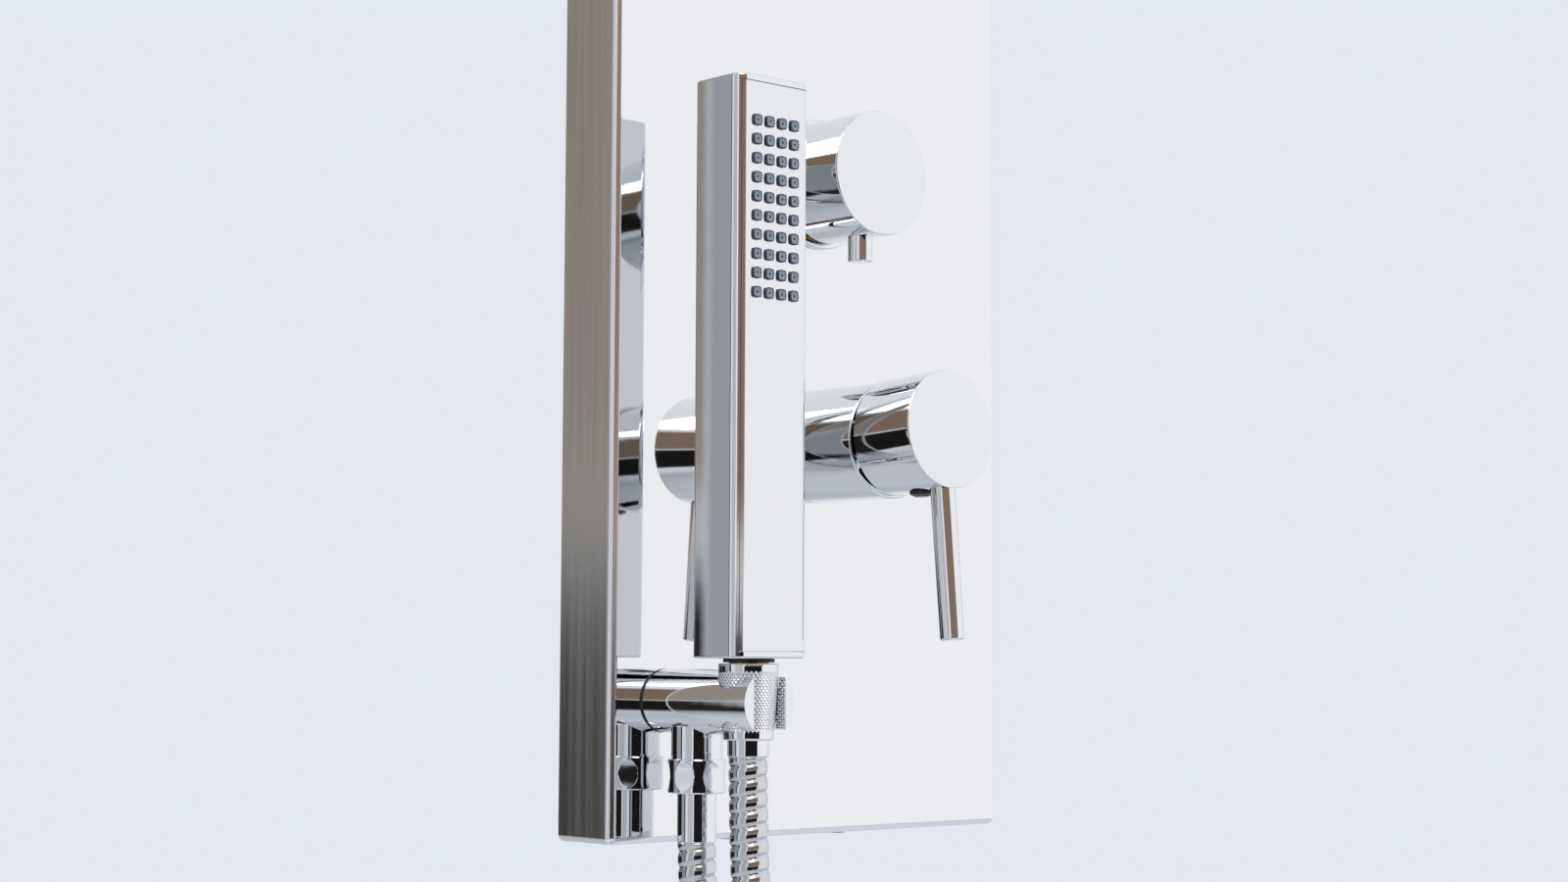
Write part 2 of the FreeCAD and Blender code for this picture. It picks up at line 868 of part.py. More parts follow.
def mixer_fittings():
    """The cartridge in the neck, the nut that holds it, and the sleeve over them that clamps the panel."""
    cartridge_front = "(cartridge_length - cartridge_back)"
    cylinder = turned(
        "cartridge_turned",
        "front",
        MIXER,
        [
            ("-cartridge_back", "0"),
            ("-cartridge_back", "cartridge_radius"),
            (cartridge_front, "cartridge_radius"),
            (cartridge_front, "carrier_radius + turn_gap"),
            ("carrier_back - turn_gap", "carrier_radius + turn_gap"),
            ("carrier_back - turn_gap", "0"),
        ],
    )
    floor = FRONT_Y + " + cartridge_back"
    places = (("hot", "-port_circle", "0"), ("cold", "port_circle", "0"), ("mixed", "0", "port_circle"))
    ports = []
    for name, x, z in places:
        at = (x, floor, "mixer_height + " + z)
        ports.append(rod("cartridge_%s_port" % name, "front", at, "port_radius", "port_recess"))
    piece(cut("mixer_cartridge", cylinder, *ports))
    piece(
        turned(
            "cartridge_nut",
            "front",
            MIXER,
            [
                (cartridge_front, "cartridge_nut_hole"),
                (cartridge_front, "cartridge_radius"),
                ("mixer_neck_length", "cartridge_radius"),
                ("mixer_neck_length", "cartridge_nut_flange"),
                ("mixer_neck_length + cartridge_nut_rim", "cartridge_nut_flange"),
                ("mixer_neck_length + cartridge_nut_rim", "cartridge_nut_hole"),
            ],
        )
    )
    piece(
        turned(
            "mixer_sleeve",
            "front",
            MIXER,
            [
                ("0", "mixer_neck + thread_gap"),
                ("0", "sleeve_radius"),
                ("sleeve_length - sleeve_edge", "sleeve_radius"),
                ("sleeve_length", "sleeve_radius - sleeve_edge"),
                ("sleeve_length", "sleeve_mouth"),
                ("sleeve_length - sleeve_lip", "sleeve_mouth"),
                ("sleeve_length - sleeve_lip", "mixer_neck + thread_gap"),
            ],
        )
    )


def spindle_carrier():
    """The part of the cartridge that turns, slotted for the control stem, and the pin the stem tilts on."""
    round_part = ring(
        "carrier_turned", "front", MIXER, "carrier_back", "carrier_front", "0", "carrier_radius"
    )
    slot_width = "(stem_side + 2 * stem_play)"
    slot = block(
        "carrier_slot",
        (
            "-%s / 2" % slot_width,
            FRONT_Y + " - carrier_front",
            "mixer_height - carrier_slot_height / 2",
        ),
        (slot_width, "carrier_front - carrier_slot_back", "carrier_slot_height"),
    )
    pin_at = ("-stem_pin_length / 2", FRONT_Y + " - pivot_forward", "mixer_height")
    hole = rod("carrier_pin_hole", "right", pin_at, "stem_pin_radius + thread_gap", "stem_pin_length")
    piece(cut("spindle_carrier", round_part, slot, hole))
    piece(rod("stem_pin", "right", pin_at, "stem_pin_radius", "stem_pin_length"))


def on_handle(forward, down="0"):
    """A point of the handle, counted from the stem pin: forward along the handle's axis and down from it."""
    y = "%s - pivot_forward - (%s) * cos(handle_tilt) - (%s) * sin(handle_tilt)" % (FRONT_Y, forward, down)
    z = "mixer_height + (%s) * sin(handle_tilt) - (%s) * cos(handle_tilt)" % (forward, down)
    return "0", y, z


def handle():
    """The stem, the cap on it, the lever, and the set screw with its plug, all tilted about the stem pin."""
    centre = ("0", "0", "0")
    half = "stem_side / 2"
    stem = block(
        "stem_bar",
        ("-" + half, "-stem_front", "-" + half),
        ("stem_side", "stem_front + stem_back", "stem_side"),
    )
    hole_at = ("-stem_side", "0", "0")
    hole = rod("stem_pin_hole", "right", hole_at, "stem_pin_radius + slip_gap", "2 * stem_side")
    piece(lean(cut("control_stem", stem, hole), on_handle("0"), "-handle_tilt"))

    rim = "(sleeve_length + handle_seam - pivot_forward)"
    blank = turned(
        "handle_blank",
        "front",
        centre,
        [
            ("handle_face", "0"),
            ("handle_face", "handle_radius - handle_edge"),
            ("handle_face - handle_edge", "handle_radius"),
            (rim + " - handle_radius", "handle_radius"),
            (rim + " - handle_radius", "handle_radius - handle_wall"),
            ("handle_face - handle_end", "handle_radius - handle_wall"),
            ("handle_face - handle_end", "handle_hub"),
            ("handle_hub_back", "handle_hub"),
            ("handle_hub_back", "0"),
        ],
    )
    half_socket = "(%s + thread_gap)" % half
    socket = block(
        "stem_socket",
        ("-" + half_socket, "-(stem_front + thread_gap)", "-" + half_socket),
        ("2 * " + half_socket, "stem_front - handle_hub_back + stem_side", "2 * " + half_socket),
    )
    lever_axis = "(lever_forward - handle_radius * tan(lever_rake))"
    lever_hole = lean(
        turned(
            "lever_hole",
            "down",
            centre,
            [
                ("lever_inner", "0"),
                ("lever_inner", "lever_radius + thread_gap"),
                ("2 * handle_radius", "lever_radius + thread_gap"),
                ("2 * handle_radius", "0"),
            ],
        ),
        ("0", "-" + lever_axis, "0"),
        "270 - lever_rake",
    )
    plug_seat = "handle_radius - plug_stem_length"
    screw_hole = turned(
        "set_screw_hole",
        "down",
        ("0", "-set_screw_forward", "0"),
        [
            ("0", "0"),
            ("0", "set_screw_radius + thread_gap"),
            ("handle_hub + slip_gap", "set_screw_radius + thread_gap"),
            ("handle_hub + slip_gap", "plug_stem + thread_gap"),
            ("2 * handle_radius", "plug_stem + thread_gap"),
            ("2 * handle_radius", "0"),
        ],
    )
    tilted = lean(cut("handle_tilted", blank, socket, lever_hole, screw_hole), on_handle("0"), "-handle_tilt")
    trim = block(
        "rim_trim",
        (
            "-2 * handle_radius",
            FRONT_Y + " - sleeve_length - handle_seam",
            "mixer_height - 2 * handle_radius",
        ),
        ("4 * handle_radius", "2 * handle_radius", "4 * handle_radius"),
    )
    piece(cut("handle_cap", tilted, trim))
    piece(
        lean(
            turned(
                "mixer_lever",
                "down",
                centre,
                [
                    ("lever_inner", "0"),
                    ("lever_inner", "lever_radius"),
                    ("handle_radius", "lever_radius"),
                    ("lever_reach - lever_edge", "lever_tip_radius"),
                    ("lever_reach", "lever_tip_radius - lever_edge"),
                    ("lever_reach", "0"),
                ],
            ),
            on_handle(lever_axis),
            "270 - handle_tilt - lever_rake",
        )
    )
    screw_at = on_handle("set_screw_forward", half + " + slip_gap")
    screw = rod("handle_set_screw", "down", screw_at, "set_screw_radius", "set_screw_length")
    piece(lean(screw, screw_at, "180 - handle_tilt"))
    piece(
        lean(
            turned(
                "set_screw_plug",
                "down",
                centre,
                [
                    (plug_seat, "0"),
                    (plug_seat, "plug_stem"),
                    ("handle_radius", "plug_stem"),
                    ("handle_radius", "plug_radius"),
                    ("handle_radius + plug_height / 2", "0.9 * plug_radius"),
                    ("handle_radius + plug_height", "plug_radius / 2"),
                    ("handle_radius + plug_height", "0"),
                ],
            ),
            on_handle("set_screw_forward"),
            "270 - handle_tilt",
        )
    )


# ---------------------------------------------------------------- arm, outlet and what holds them


def arm():
    """The arm: hollow from the wall side to its outlet, with a conical seat and a slot at its end."""
    start = (ARM_X, FRONT_Y + " - gasket_height", "arm_height")
    outlet = (ARM_X, OUTLET_Y, "arm_height")
    solids = [
        rod("arm_barrel", "front", start, "arm_radius", "arm_reach - gasket_height"),
        rod("arm_tail", "back", start, "thread_radius", "tail_length + gasket_height"),
        rod("arm_outlet", "down", outlet, "thread_radius", "outlet_drop"),
    ]
    bottom = "cone_bottom + cradle_gap"
    top = "cone_top + cradle_gap"
    tail = (ARM_X, TAIL_Y, "arm_height")
    opening_y = FRONT_Y + " - arm_reach - arm_radius"
    tools = [
        rod("arm_channel", "front", tail, "water_radius", "tail_length + outlet_reach"),
        rod("outlet_channel", "down", outlet, "water_radius", "outlet_drop"),
        turned(
            "cradle_seat",
            "up",
            (ARM_X, SOCKET_Y, CONE_BOTTOM),
            [("0", "0"), ("0", bottom), ("cone_height", top), ("cone_height", "0")],
        ),
        block(
            "cradle_opening",
            (ARM_X + " - cradle_slot / 2", opening_y, "arm_height - 2 * arm_radius"),
            ("cradle_slot", "arm_reach + arm_radius - socket_reach", "4 * arm_radius"),
        ),
    ]
    piece(cut("holder_arm", fuse("arm_solid", *solids), *tools))
    at = (ARM_X, FRONT_Y, "arm_height")
    piece(ring("arm_gasket", "front", at, "0", "gasket_height", "thread_radius + hole_gap", "arm_radius"))


def behind_panel(name, x, z, stub):
    """The nut that clamps an arm's tail behind the panel, and the elbow on the tail's end."""
    inset = "(panel_sheet + panel_nut_height + hole_gap)"
    nut_at = (x, FRONT_Y + " + panel_sheet", z)
    hole = "thread_radius + thread_gap"
    nut = hex_nut(name + "_nut", "back", nut_at, "panel_nut_radius", "panel_nut_height", hole)
    front = (x, "%s + %s" % (FRONT_Y, inset), z)
    axis = (x, PIPE_Y, z)
    solid = fuse(
        name + "_elbow_solid",
        rod(name + "_elbow_drum", "back", front, "elbow_radius", "panel_depth - %s - valve_back" % inset),
        rod(name + "_elbow_stub", stub, axis, "stub_radius", "elbow_stub"),
    )
    tail_end = "tail_length - " + inset
    water_end = "panel_depth - %s - pipe_depth + water_radius" % inset
    hollow = turned(
        name + "_elbow_hollow",
        "back",
        front,
        [
            ("0", "0"),
            ("0", hole),
            (tail_end, hole),
            (tail_end, "water_radius"),
            (water_end, "water_radius"),
            (water_end, "0"),
        ],
    )
    elbow = cut(name + "_elbow", solid, hollow, water_port(name + "_elbow_port", stub, axis, "elbow_stub"))
    return nut, elbow


def pipes():
    """The three pipes between the mixer, the diverter and the two elbows, with their nuts."""
    mixer_end = "mixer_height + mixer_stub"
    diverter_low = "diverter_height - diverter_stub"
    diverter_high = "diverter_height + diverter_stub"
    rain_end = RAIN_Z + " - elbow_stub"
    arm_end = "arm_height + elbow_stub"
    piece(straight_pipe("mixed_water_pipe", mixer_end + " - socket_depth", diverter_low + " + socket_depth"))
    piece(straight_pipe("rain_pipe", diverter_high + " - socket_depth", rain_end + " + socket_depth"))

    side_start = ("-(diverter_stub - socket_depth)", PIPE_Y, "diverter_height")
    down_start = (ARM_X, PIPE_Y, "diverter_height - pipe_bend")
    bend_centre = (ARM_X + " + pipe_bend", PIPE_Y, "diverter_height - pipe_bend")
    to_left_and_up = FreeCAD.Rotation(V(-1, 0, 0), V(0, 0, 1), V(0, 1, 0), "XYZ")
    across = "arm_offset - pipe_bend - diverter_stub + socket_depth"
    down = "diverter_height - pipe_bend - (%s) + socket_depth" % arm_end
    runs = []
    for name, radius in (("outside", "pipe_radius"), ("inside", "pipe_radius - pipe_wall")):
        corner = quarter_bend("hand_pipe_bend_" + name, bend_centre, to_left_and_up, "pipe_bend", radius)
        level = rod("hand_pipe_level_" + name, "left", side_start, radius, across)
        upright = rod("hand_pipe_upright_" + name, "down", down_start, radius, down)
        runs.append(fuse("hand_pipe_" + name, level, corner, upright))
    piece(cut("hand_shower_pipe", *runs))

    middle = "0"
    nuts = [
        pipe_nut("mixer_outlet_nut", "up", (middle, PIPE_Y, mixer_end)),
        pipe_nut("diverter_inlet_nut", "down", (middle, PIPE_Y, diverter_low)),
        pipe_nut("diverter_rain_nut", "up", (middle, PIPE_Y, diverter_high)),
        pipe_nut("rain_elbow_nut", "down", (middle, PIPE_Y, rain_end)),
        pipe_nut("diverter_hand_nut", "left", ("-diverter_stub", PIPE_Y, "diverter_height")),
        pipe_nut("arm_elbow_nut", "up", (ARM_X, PIPE_Y, arm_end)),
    ]
    piece(together("pipe_nuts", *nuts))


def quarter_bend(name, centre, turn, bend, radius):
    """A quarter of a torus from the turn's X direction to its Y direction."""
    torus = doc.addObject("Part::Torus", name)
    bind(torus, "Radius1", bend)
    bind(torus, "Radius2", radius)
    torus.Angle3 = 90
    return put(torus, centre, turn)


# ---------------------------------------------------------------- hose connections


def outlet_connection():
    """Under the arm: the union nut with six milled facets, the washer, and the hose's ferrule."""
    at = (ARM_X, OUTLET_Y, UNION_BOTTOM)
    bore = "thread_radius + thread_gap"
    body, section = turned_body(
        "outlet_union_nut",
        [
            ("0", "union_hole"),
            ("0", "union_radius"),
            ("union_height", "union_radius"),
            ("union_height", bore),
            ("union_floor", bore),
            ("union_floor", "union_hole"),
        ],
    )
    cutter = body.newObject("Sketcher::SketchObject", "facet_cutter")
    support = next(feature for feature in body.Origin.OriginFeatures if feature.Role == "XY_Plane")
    cutter.AttachmentSupport = [(support, "")]
    cutter.MapMode = "FlatFace"
    cutter.addGeometry(Part.Circle(V(2, 2, 0), V(0, 0, 1), 1), False)
    for kind, where, formula in (
        ("Radius", (0,), "facet_cutter"),
        ("DistanceX", (-1, 1, 0, 3), "facet_cutter + facet_floor"),
        ("DistanceY", (-1, 1, 0, 3), "union_height / 2"),
    ):
        place = cutter.addConstraint(Sketcher.Constraint(kind, *where, 1.0))
        bind(cutter, "Constraints[%d]" % place, formula)
    facet = body.newObject("PartDesign::Pocket", "facet")
    facet.Profile = cutter
    facet.Midplane = True
    bind(facet, "Length", "2 * union_radius")
    around = body.newObject("PartDesign::PolarPattern", "facets")
    around.Originals = [facet]
    around.Axis = (section, ["V_Axis"])
    around.Angle = 360
    bind(around, "Occurrences", "facet_count")
    body.Tip = around
    piece(put(body, at, STAND_UP))

    flange_top = "(union_floor + flange_height)"
    washer_top = flange_top + " + washer_height"
    piece(ring("outlet_washer", "up", at, flange_top, washer_top, "water_radius", "flange_radius"))
    piece(
        turned(
            "outlet_ferrule",
            "up",
            at,
            [
                ("-ferrule_length", "ferrule_bore"),
                ("-ferrule_length", "ferrule_radius"),
                ("0", "ferrule_radius"),
                ("0", "ferrule_neck"),
                ("union_floor", "ferrule_neck"),
                ("union_floor", "flange_radius"),
                (flange_top, "flange_radius"),
                (flange_top, "ferrule_bore"),
            ],
        )
    )


def hand_connection():
    """In the cradle: the conical nut, the washer, and the ferrule at the hose's other end."""
    at = (ARM_X, SOCKET_Y, CONE_BOTTOM)
    bore = "thread_radius + thread_gap"
    piece(
        turned(
            "conical_nut",
            "up",
            at,
            [
                ("0", "cone_hole"),
                ("0", "cone_bottom - cone_edge"),
                ("cone_edge", "cone_bottom"),
                ("cone_height - cone_edge", "cone_top"),
                ("cone_height", "cone_top - cone_edge"),
                ("cone_height", bore),
                ("cone_shoulder", bore),
                ("cone_shoulder", "cone_hole"),
            ],
        )
    )
    flange_top = "cone_shoulder + hand_flange_height"
    washer_top = flange_top + " + hand_washer_height"
    piece(ring("handset_washer", "up", at, flange_top, washer_top, "ferrule_bore", "hand_washer_radius"))
    piece(
        turned(
            "handset_ferrule",
            "up",
            at,
            [
                ("-hand_ferrule_length", "ferrule_bore"),
                ("-hand_ferrule_length", "hand_ferrule_radius"),
                ("0", "hand_ferrule_radius"),
                ("0", "hand_ferrule_neck"),
                ("cone_shoulder", "hand_ferrule_neck"),
                ("cone_shoulder", "flange_radius"),
                (flange_top, "flange_radius"),
                (flange_top, "ferrule_bore"),
            ],
        )
    )


# ---------------------------------------------------------------- hand shower


def hand_shower_body():
    """The hand shower's metal body: a slim box with round upright corners, open at the front inside a lip."""

    def upright(box):
        return box.ZLength > sheet.hand_length / 2

    def back_corners(box):
        return upright(box) and box.YMin > sheet.hand_thick / 2

    def front_corners(box):
        return upright(box) and box.YMax < sheet.hand_thick / 2

    def the_rest(box):
        across = box.YMin < sheet.hand_thick / 2 or box.XLength > sheet.hand_width / 2
        return across and not upright(box)

    at = (ARM_X, HAND_FRONT_Y, HAND_BOTTOM)
    outside = rounded_block(
        "hand_outside",
        at,
        "hand_width",
        "hand_thick",
        "hand_length",
        [(back_corners, "hand_back_round"), (front_corners, "hand_front_round"), (the_rest, "hand_edge")],
    )
    hollow = block(
        "hand_hollow",
        (
            ARM_X + " - hand_width / 2 + hand_wall",
            HAND_FRONT_Y + " - hand_wall",
            HAND_BOTTOM + " + hand_wall",
        ),
        ("hand_width - 2 * hand_wall", "hand_thick", "hand_length - 2 * hand_wall"),
    )
    foot = (ARM_X, SOCKET_Y, HAND_BOTTOM + " - hand_wall")
    hole = rod("hand_stem_hole", "up", foot, "stem_neck + slip_gap", "3 * hand_wall")
    piece(cut("handset_body", outside, hollow, hole))


def hand_shower_inside():
    """The threaded stem with its seal ring, and the water chamber behind the nozzles."""
    stem_at = (ARM_X, SOCKET_Y, STEM_BOTTOM)
    foot = "(%s - %s)" % (HAND_BOTTOM, STEM_BOTTOM)
    shoulder = foot + " + hand_wall"
    tip = foot + " + stem_tube_rise"
    piece(
        turned(
            "handset_stem",
            "up",
            stem_at,
            [
                ("0", "stem_bore"),
                ("0", "swivel_radius"),
                ("swivel_length", "swivel_radius"),
                ("swivel_length", "stem_neck"),
                (shoulder, "stem_neck"),
                (shoulder, "stem_tube"),
                (tip, "stem_tube"),
                (tip, "stem_bore"),
            ],
        )
    )
    ring_at = (ARM_X, SOCKET_Y, HAND_BOTTOM)
    inner = "stem_neck + slip_gap"
    piece(ring("handset_seal_ring", "up", ring_at, "-seal_ring_height", "0", inner, "seal_ring_radius"))

    side = "(hand_width / 2 - hand_wall - chamber_play)"
    front = "(face_sink + face_plate + mat_sheet)"
    depth = "(hand_thick - hand_wall - chamber_play - %s)" % front
    height = "(hand_length - hand_wall - chamber_play - chamber_lift)"
    low = "(%s + chamber_lift)" % HAND_BOTTOM
    chamber = block(
        "chamber_outside",
        ("%s - %s" % (ARM_X, side), "%s + %s" % (HAND_FRONT_Y, front), low),
        ("2 * " + side, depth, height),
    )
    hollow = block(
        "chamber_inside",
        (
            "%s - %s + chamber_wall" % (ARM_X, side),
            "%s + %s - chamber_wall" % (HAND_FRONT_Y, front),
            low + " + chamber_wall",
        ),
        ("2 * (%s - chamber_wall)" % side, depth, height + " - 2 * chamber_wall"),
    )
    inlet_at = (ARM_X, SOCKET_Y, low + " - chamber_wall")
    inlet = rod("chamber_inlet", "up", inlet_at, "stem_tube + slip_gap", "3 * chamber_wall")
    piece(cut("handset_water_chamber", chamber, hollow, inlet))


def face_plate():
    """The plate in the hand shower's front: flat in the middle, falling away along both sides, with holes."""
    body = doc.addObject("PartDesign::Body", "handset_face_plate")
    half = "(hand_width / 2 - hand_wall - face_gap)"
    inner = "(%s - face_border)" % half
    back = "(face_sink + face_plate)"
    brink = "(face_sink + face_fall)"
    slope = "(face_sink + face_fall / 4)"
    section = outline(
        body,
        "face_section",
        "XY_Plane",
        [
            ("-" + half, back),
            (half, back),
            (half, brink),
            (inner + " + face_border / 2", slope),
            (inner, "face_sink"),
            ("-" + inner, "face_sink"),
            ("-(%s + face_border / 2)" % inner, slope),
            ("-" + half, brink),
        ],
    )
    pad = body.newObject("PartDesign::Pad", "face_pad")
    pad.Profile = section
    bind(pad, "Length", "hand_length - 2 * hand_wall - 2 * face_gap")
    side = "nozzle_side + 2 * nozzle_gap"
    top = "hand_length - hand_wall - face_gap - nozzle_below_top"
    corners = first_nozzle(side, "nozzle_columns", "nozzle_rows", "nozzle_across", "nozzle_down", top)
    square = outline(body, "face_hole", "XZ_Plane", corners)
    hole = body.newObject("PartDesign::Pocket", "face_holes")
    hole.Profile = square
    bind(hole, "Length", back + " + face_plate")
    patterned(body, hole, square, "nozzle_columns", "nozzle_rows", "nozzle_across", "nozzle_down")
    piece(put(body, (ARM_X, HAND_FRONT_Y, HAND_BOTTOM + " + hand_wall + face_gap")))


def nozzle_mat(name, at, turn, half_width, height, columns, rows, across, down, top):
    """A silicone mat with square nozzles, drawn from the side that it sprays to, its sheet behind them."""
    body = doc.addObject("PartDesign::Body", name)
    sheet_outline = outline(
        body, name + "_sheet", "XZ_Plane", rectangle("-" + half_width, "0", half_width, height)
    )
    back = body.newObject("PartDesign::Pad", name + "_back")
    back.Profile = sheet_outline
    back.Reversed = True
    bind(back, "Length", "mat_sheet")
    square = outline(
        body, name + "_nozzle", "XZ_Plane", first_nozzle("nozzle_side", columns, rows, across, down, top)
    )
    nozzle = body.newObject("PartDesign::Pad", name + "_nozzles")
    nozzle.Profile = square
    bind(nozzle, "Length", "face_plate + nozzle_stand")
    patterned(body, nozzle, square, columns, rows, across, down)
    piece(put(body, at, turn))


# ---------------------------------------------------------------- hose

# The route, point by point, from each fitting to where the coil's first and last turn meet it
OUTLET_ROUTE = [(-78, -50.9, -16.7), (-78, -50.9, -77), (-4, -44.5, -165), (-4, -46.2, -225)]
HAND_ROUTE = [(-78, -80.3, 16.2), (-78, -80.3, -16), (-78, -86.5, -77), (-152, -87, -165), (-152, -85, -225)]
ARC_SHARE = 0.45


def hose_path(points):
    """Straight runs joined by tangent arcs, each as large as its two runs allow; prints the arcs' radii."""
    points = [V(*point) for point in points]
    edges = []
    start = points[0]
    radii = []
    for before, corner, after in zip(points, points[1:], points[2:]):
        into = (corner - before).normalize()
        out = (after - corner).normalize()
        turn = into.getAngle(out)
        tangent = ARC_SHARE * min((corner - before).Length, (after - corner).Length)
        radius = tangent / math.tan(turn / 2)
        bisector = (out - into).normalize()
        centre = corner + bisector * (radius / math.cos(turn / 2))
        arc_start = corner - into * tangent
        arc_end = corner + out * tangent
        edges.append(Part.LineSegment(start, arc_start).toShape())
        edges.append(Part.Arc(arc_start, centre - bisector * radius, arc_end).toShape())
        start = arc_end
        radii.append(radius)
    edges.append(Part.LineSegment(start, points[-1]).toShape())
    print("hose radii in mm:", ", ".join("%.1f" % radius for radius in radii))
    return Part.Wire(edges), (points[1] - points[0]).normalize()


def hose_run(name, route):
    """One uncoiled stretch of the hose, a tube along its route."""
    path, direction = hose_path(route)
    section = Part.Wire([Part.makeCircle(sheet.hose_radius, V(*route[0]), direction)])
    run = doc.addObject("Part::Feature", name)
    run.Shape = path.makePipeShell([section], True, False)
    wanted = math.pi * sheet.hose_radius**2 * path.Length
    share = run.Shape.Volume / wanted
    print("%s: length %.1f mm, volume %.4f of section times length" % (name, path.Length, share))
    piece(run)


def hose_coil():
    """The coil's outer shape as one ring about the front-to-back axis, and the tie round its lowest point."""
    at = (ARM_X, "-coil_centre_depth", "-coil_centre_drop")
    half = "(coil_rise / 2 + hose_radius)"
    inner = "(coil_radius - hose_radius)"
    outer = "(coil_radius + hose_radius)"
    piece(ring("hose_coil", "front", at, "-" + half, half, inner, outer))

    reach = "(%s + tie_play / 2)" % half
    low = "(-coil_centre_drop - %s - tie_play / 4)" % outer
    high = "(-coil_centre_drop - %s + tie_play)" % inner
    inside = block(
        "tie_inside",
        (ARM_X + " - tie_width", "-coil_centre_depth - " + reach, low),
        ("2 * tie_width", "2 * " + reach, "%s - %s" % (high, low)),
    )
    outside = block(
        "tie_outside",
        (ARM_X + " - tie_width / 2", "-coil_centre_depth - %s - tie_sheet" % reach, low + " - tie_sheet"),
        ("tie_width", "2 * (%s + tie_sheet)" % reach, "%s - %s + 2 * tie_sheet" % (high, low)),
    )
    piece(cut("coil_tie", outside, inside))


# ---------------------------------------------------------------- overhead shower


def rain_arm():
    """The overhead arm: out from the panel, round a bend and down, hollow, with a flange at the panel."""
    front = "rain_reach - rain_arm_bend"
    start = ("0", FRONT_Y, RAIN_Z)
    bend_centre = ("0", RAIN_Y + " + rain_arm_bend", RAIN_Z + " - rain_arm_bend")
    drop_start = ("0", RAIN_Y, RAIN_Z + " - rain_arm_bend")
    to_front_and_up = FreeCAD.Rotation(V(0, -1, 0), V(0, 0, 1), V(-1, 0, 0), "XYZ")
    solid = fuse(
        "rain_arm_solid",
        rod("rain_arm_tail", "back", start, "thread_radius", "tail_length"),
        rod("rain_arm_level", "front", start, "rain_arm_radius", front),
        quarter_bend("rain_arm_corner", bend_centre, to_front_and_up, "rain_arm_bend", "rain_arm_radius"),
        rod("rain_arm_end", "down", drop_start, "rain_arm_radius", "rain_arm_drop"),
    )
    hollow = fuse(
        "rain_arm_hollow",
        rod("rain_bore_level", "front", ("0", TAIL_Y, RAIN_Z), "water_radius", "tail_length + " + front),
        quarter_bend("rain_bore_corner", bend_centre, to_front_and_up, "rain_arm_bend", "water_radius"),
        rod("rain_bore_end", "down", drop_start, "water_radius", "rain_arm_drop"),
    )
    piece(cut("rain_arm", solid, hollow))
    inner = "rain_arm_radius + hole_gap"
    piece(ring("rain_arm_flange", "front", start, "0", "rain_flange_height", inner, "rain_flange_radius"))


def rain_swivel():
    """The ball stud in the arm's end, the plastic seat round the ball, and the collar over them."""
    centre = ("0", RAIN_Y, BALL_Z)
    neck_length = "ball_drop + ball_neck_engagement"
    stud = fuse(
        "ball_and_neck",
        ball("stud_ball", centre, "ball_radius"),
        rod("stud_neck", "up", centre, "water_radius - slip_gap", neck_length),
    )
    below = ("0", RAIN_Y, BALL_Z + " - ball_radius")
    bore = rod("stud_bore", "up", below, "ball_bore", "ball_radius + " + neck_length)
    piece(cut("rain_ball", stud, bore))

    band_at = ("0", RAIN_Y, BALL_Z + " - seat_half_height")
    band = rod("seat_band", "up", band_at, "seat_radius", "2 * seat_half_height")
    outer = common("seat_outer", ball("seat_outer_ball", centre, "seat_radius"), band)
    piece(cut("swivel_seat", outer, ball("seat_inner_ball", centre, "ball_radius + seat_play")))

    collar_at = ("0", RAIN_Y, BALL_Z + " - collar_below")
    drum = rod("collar_drum", "up", collar_at, "collar_radius", "collar_above + collar_below")
    cavity = ball("collar_cavity", centre, "seat_radius + seat_play")
    thread = rod("collar_thread_bore", "up", collar_at, "collar_thread", "collar_below")
    piece(cut("swivel_collar", drum, cavity, thread))


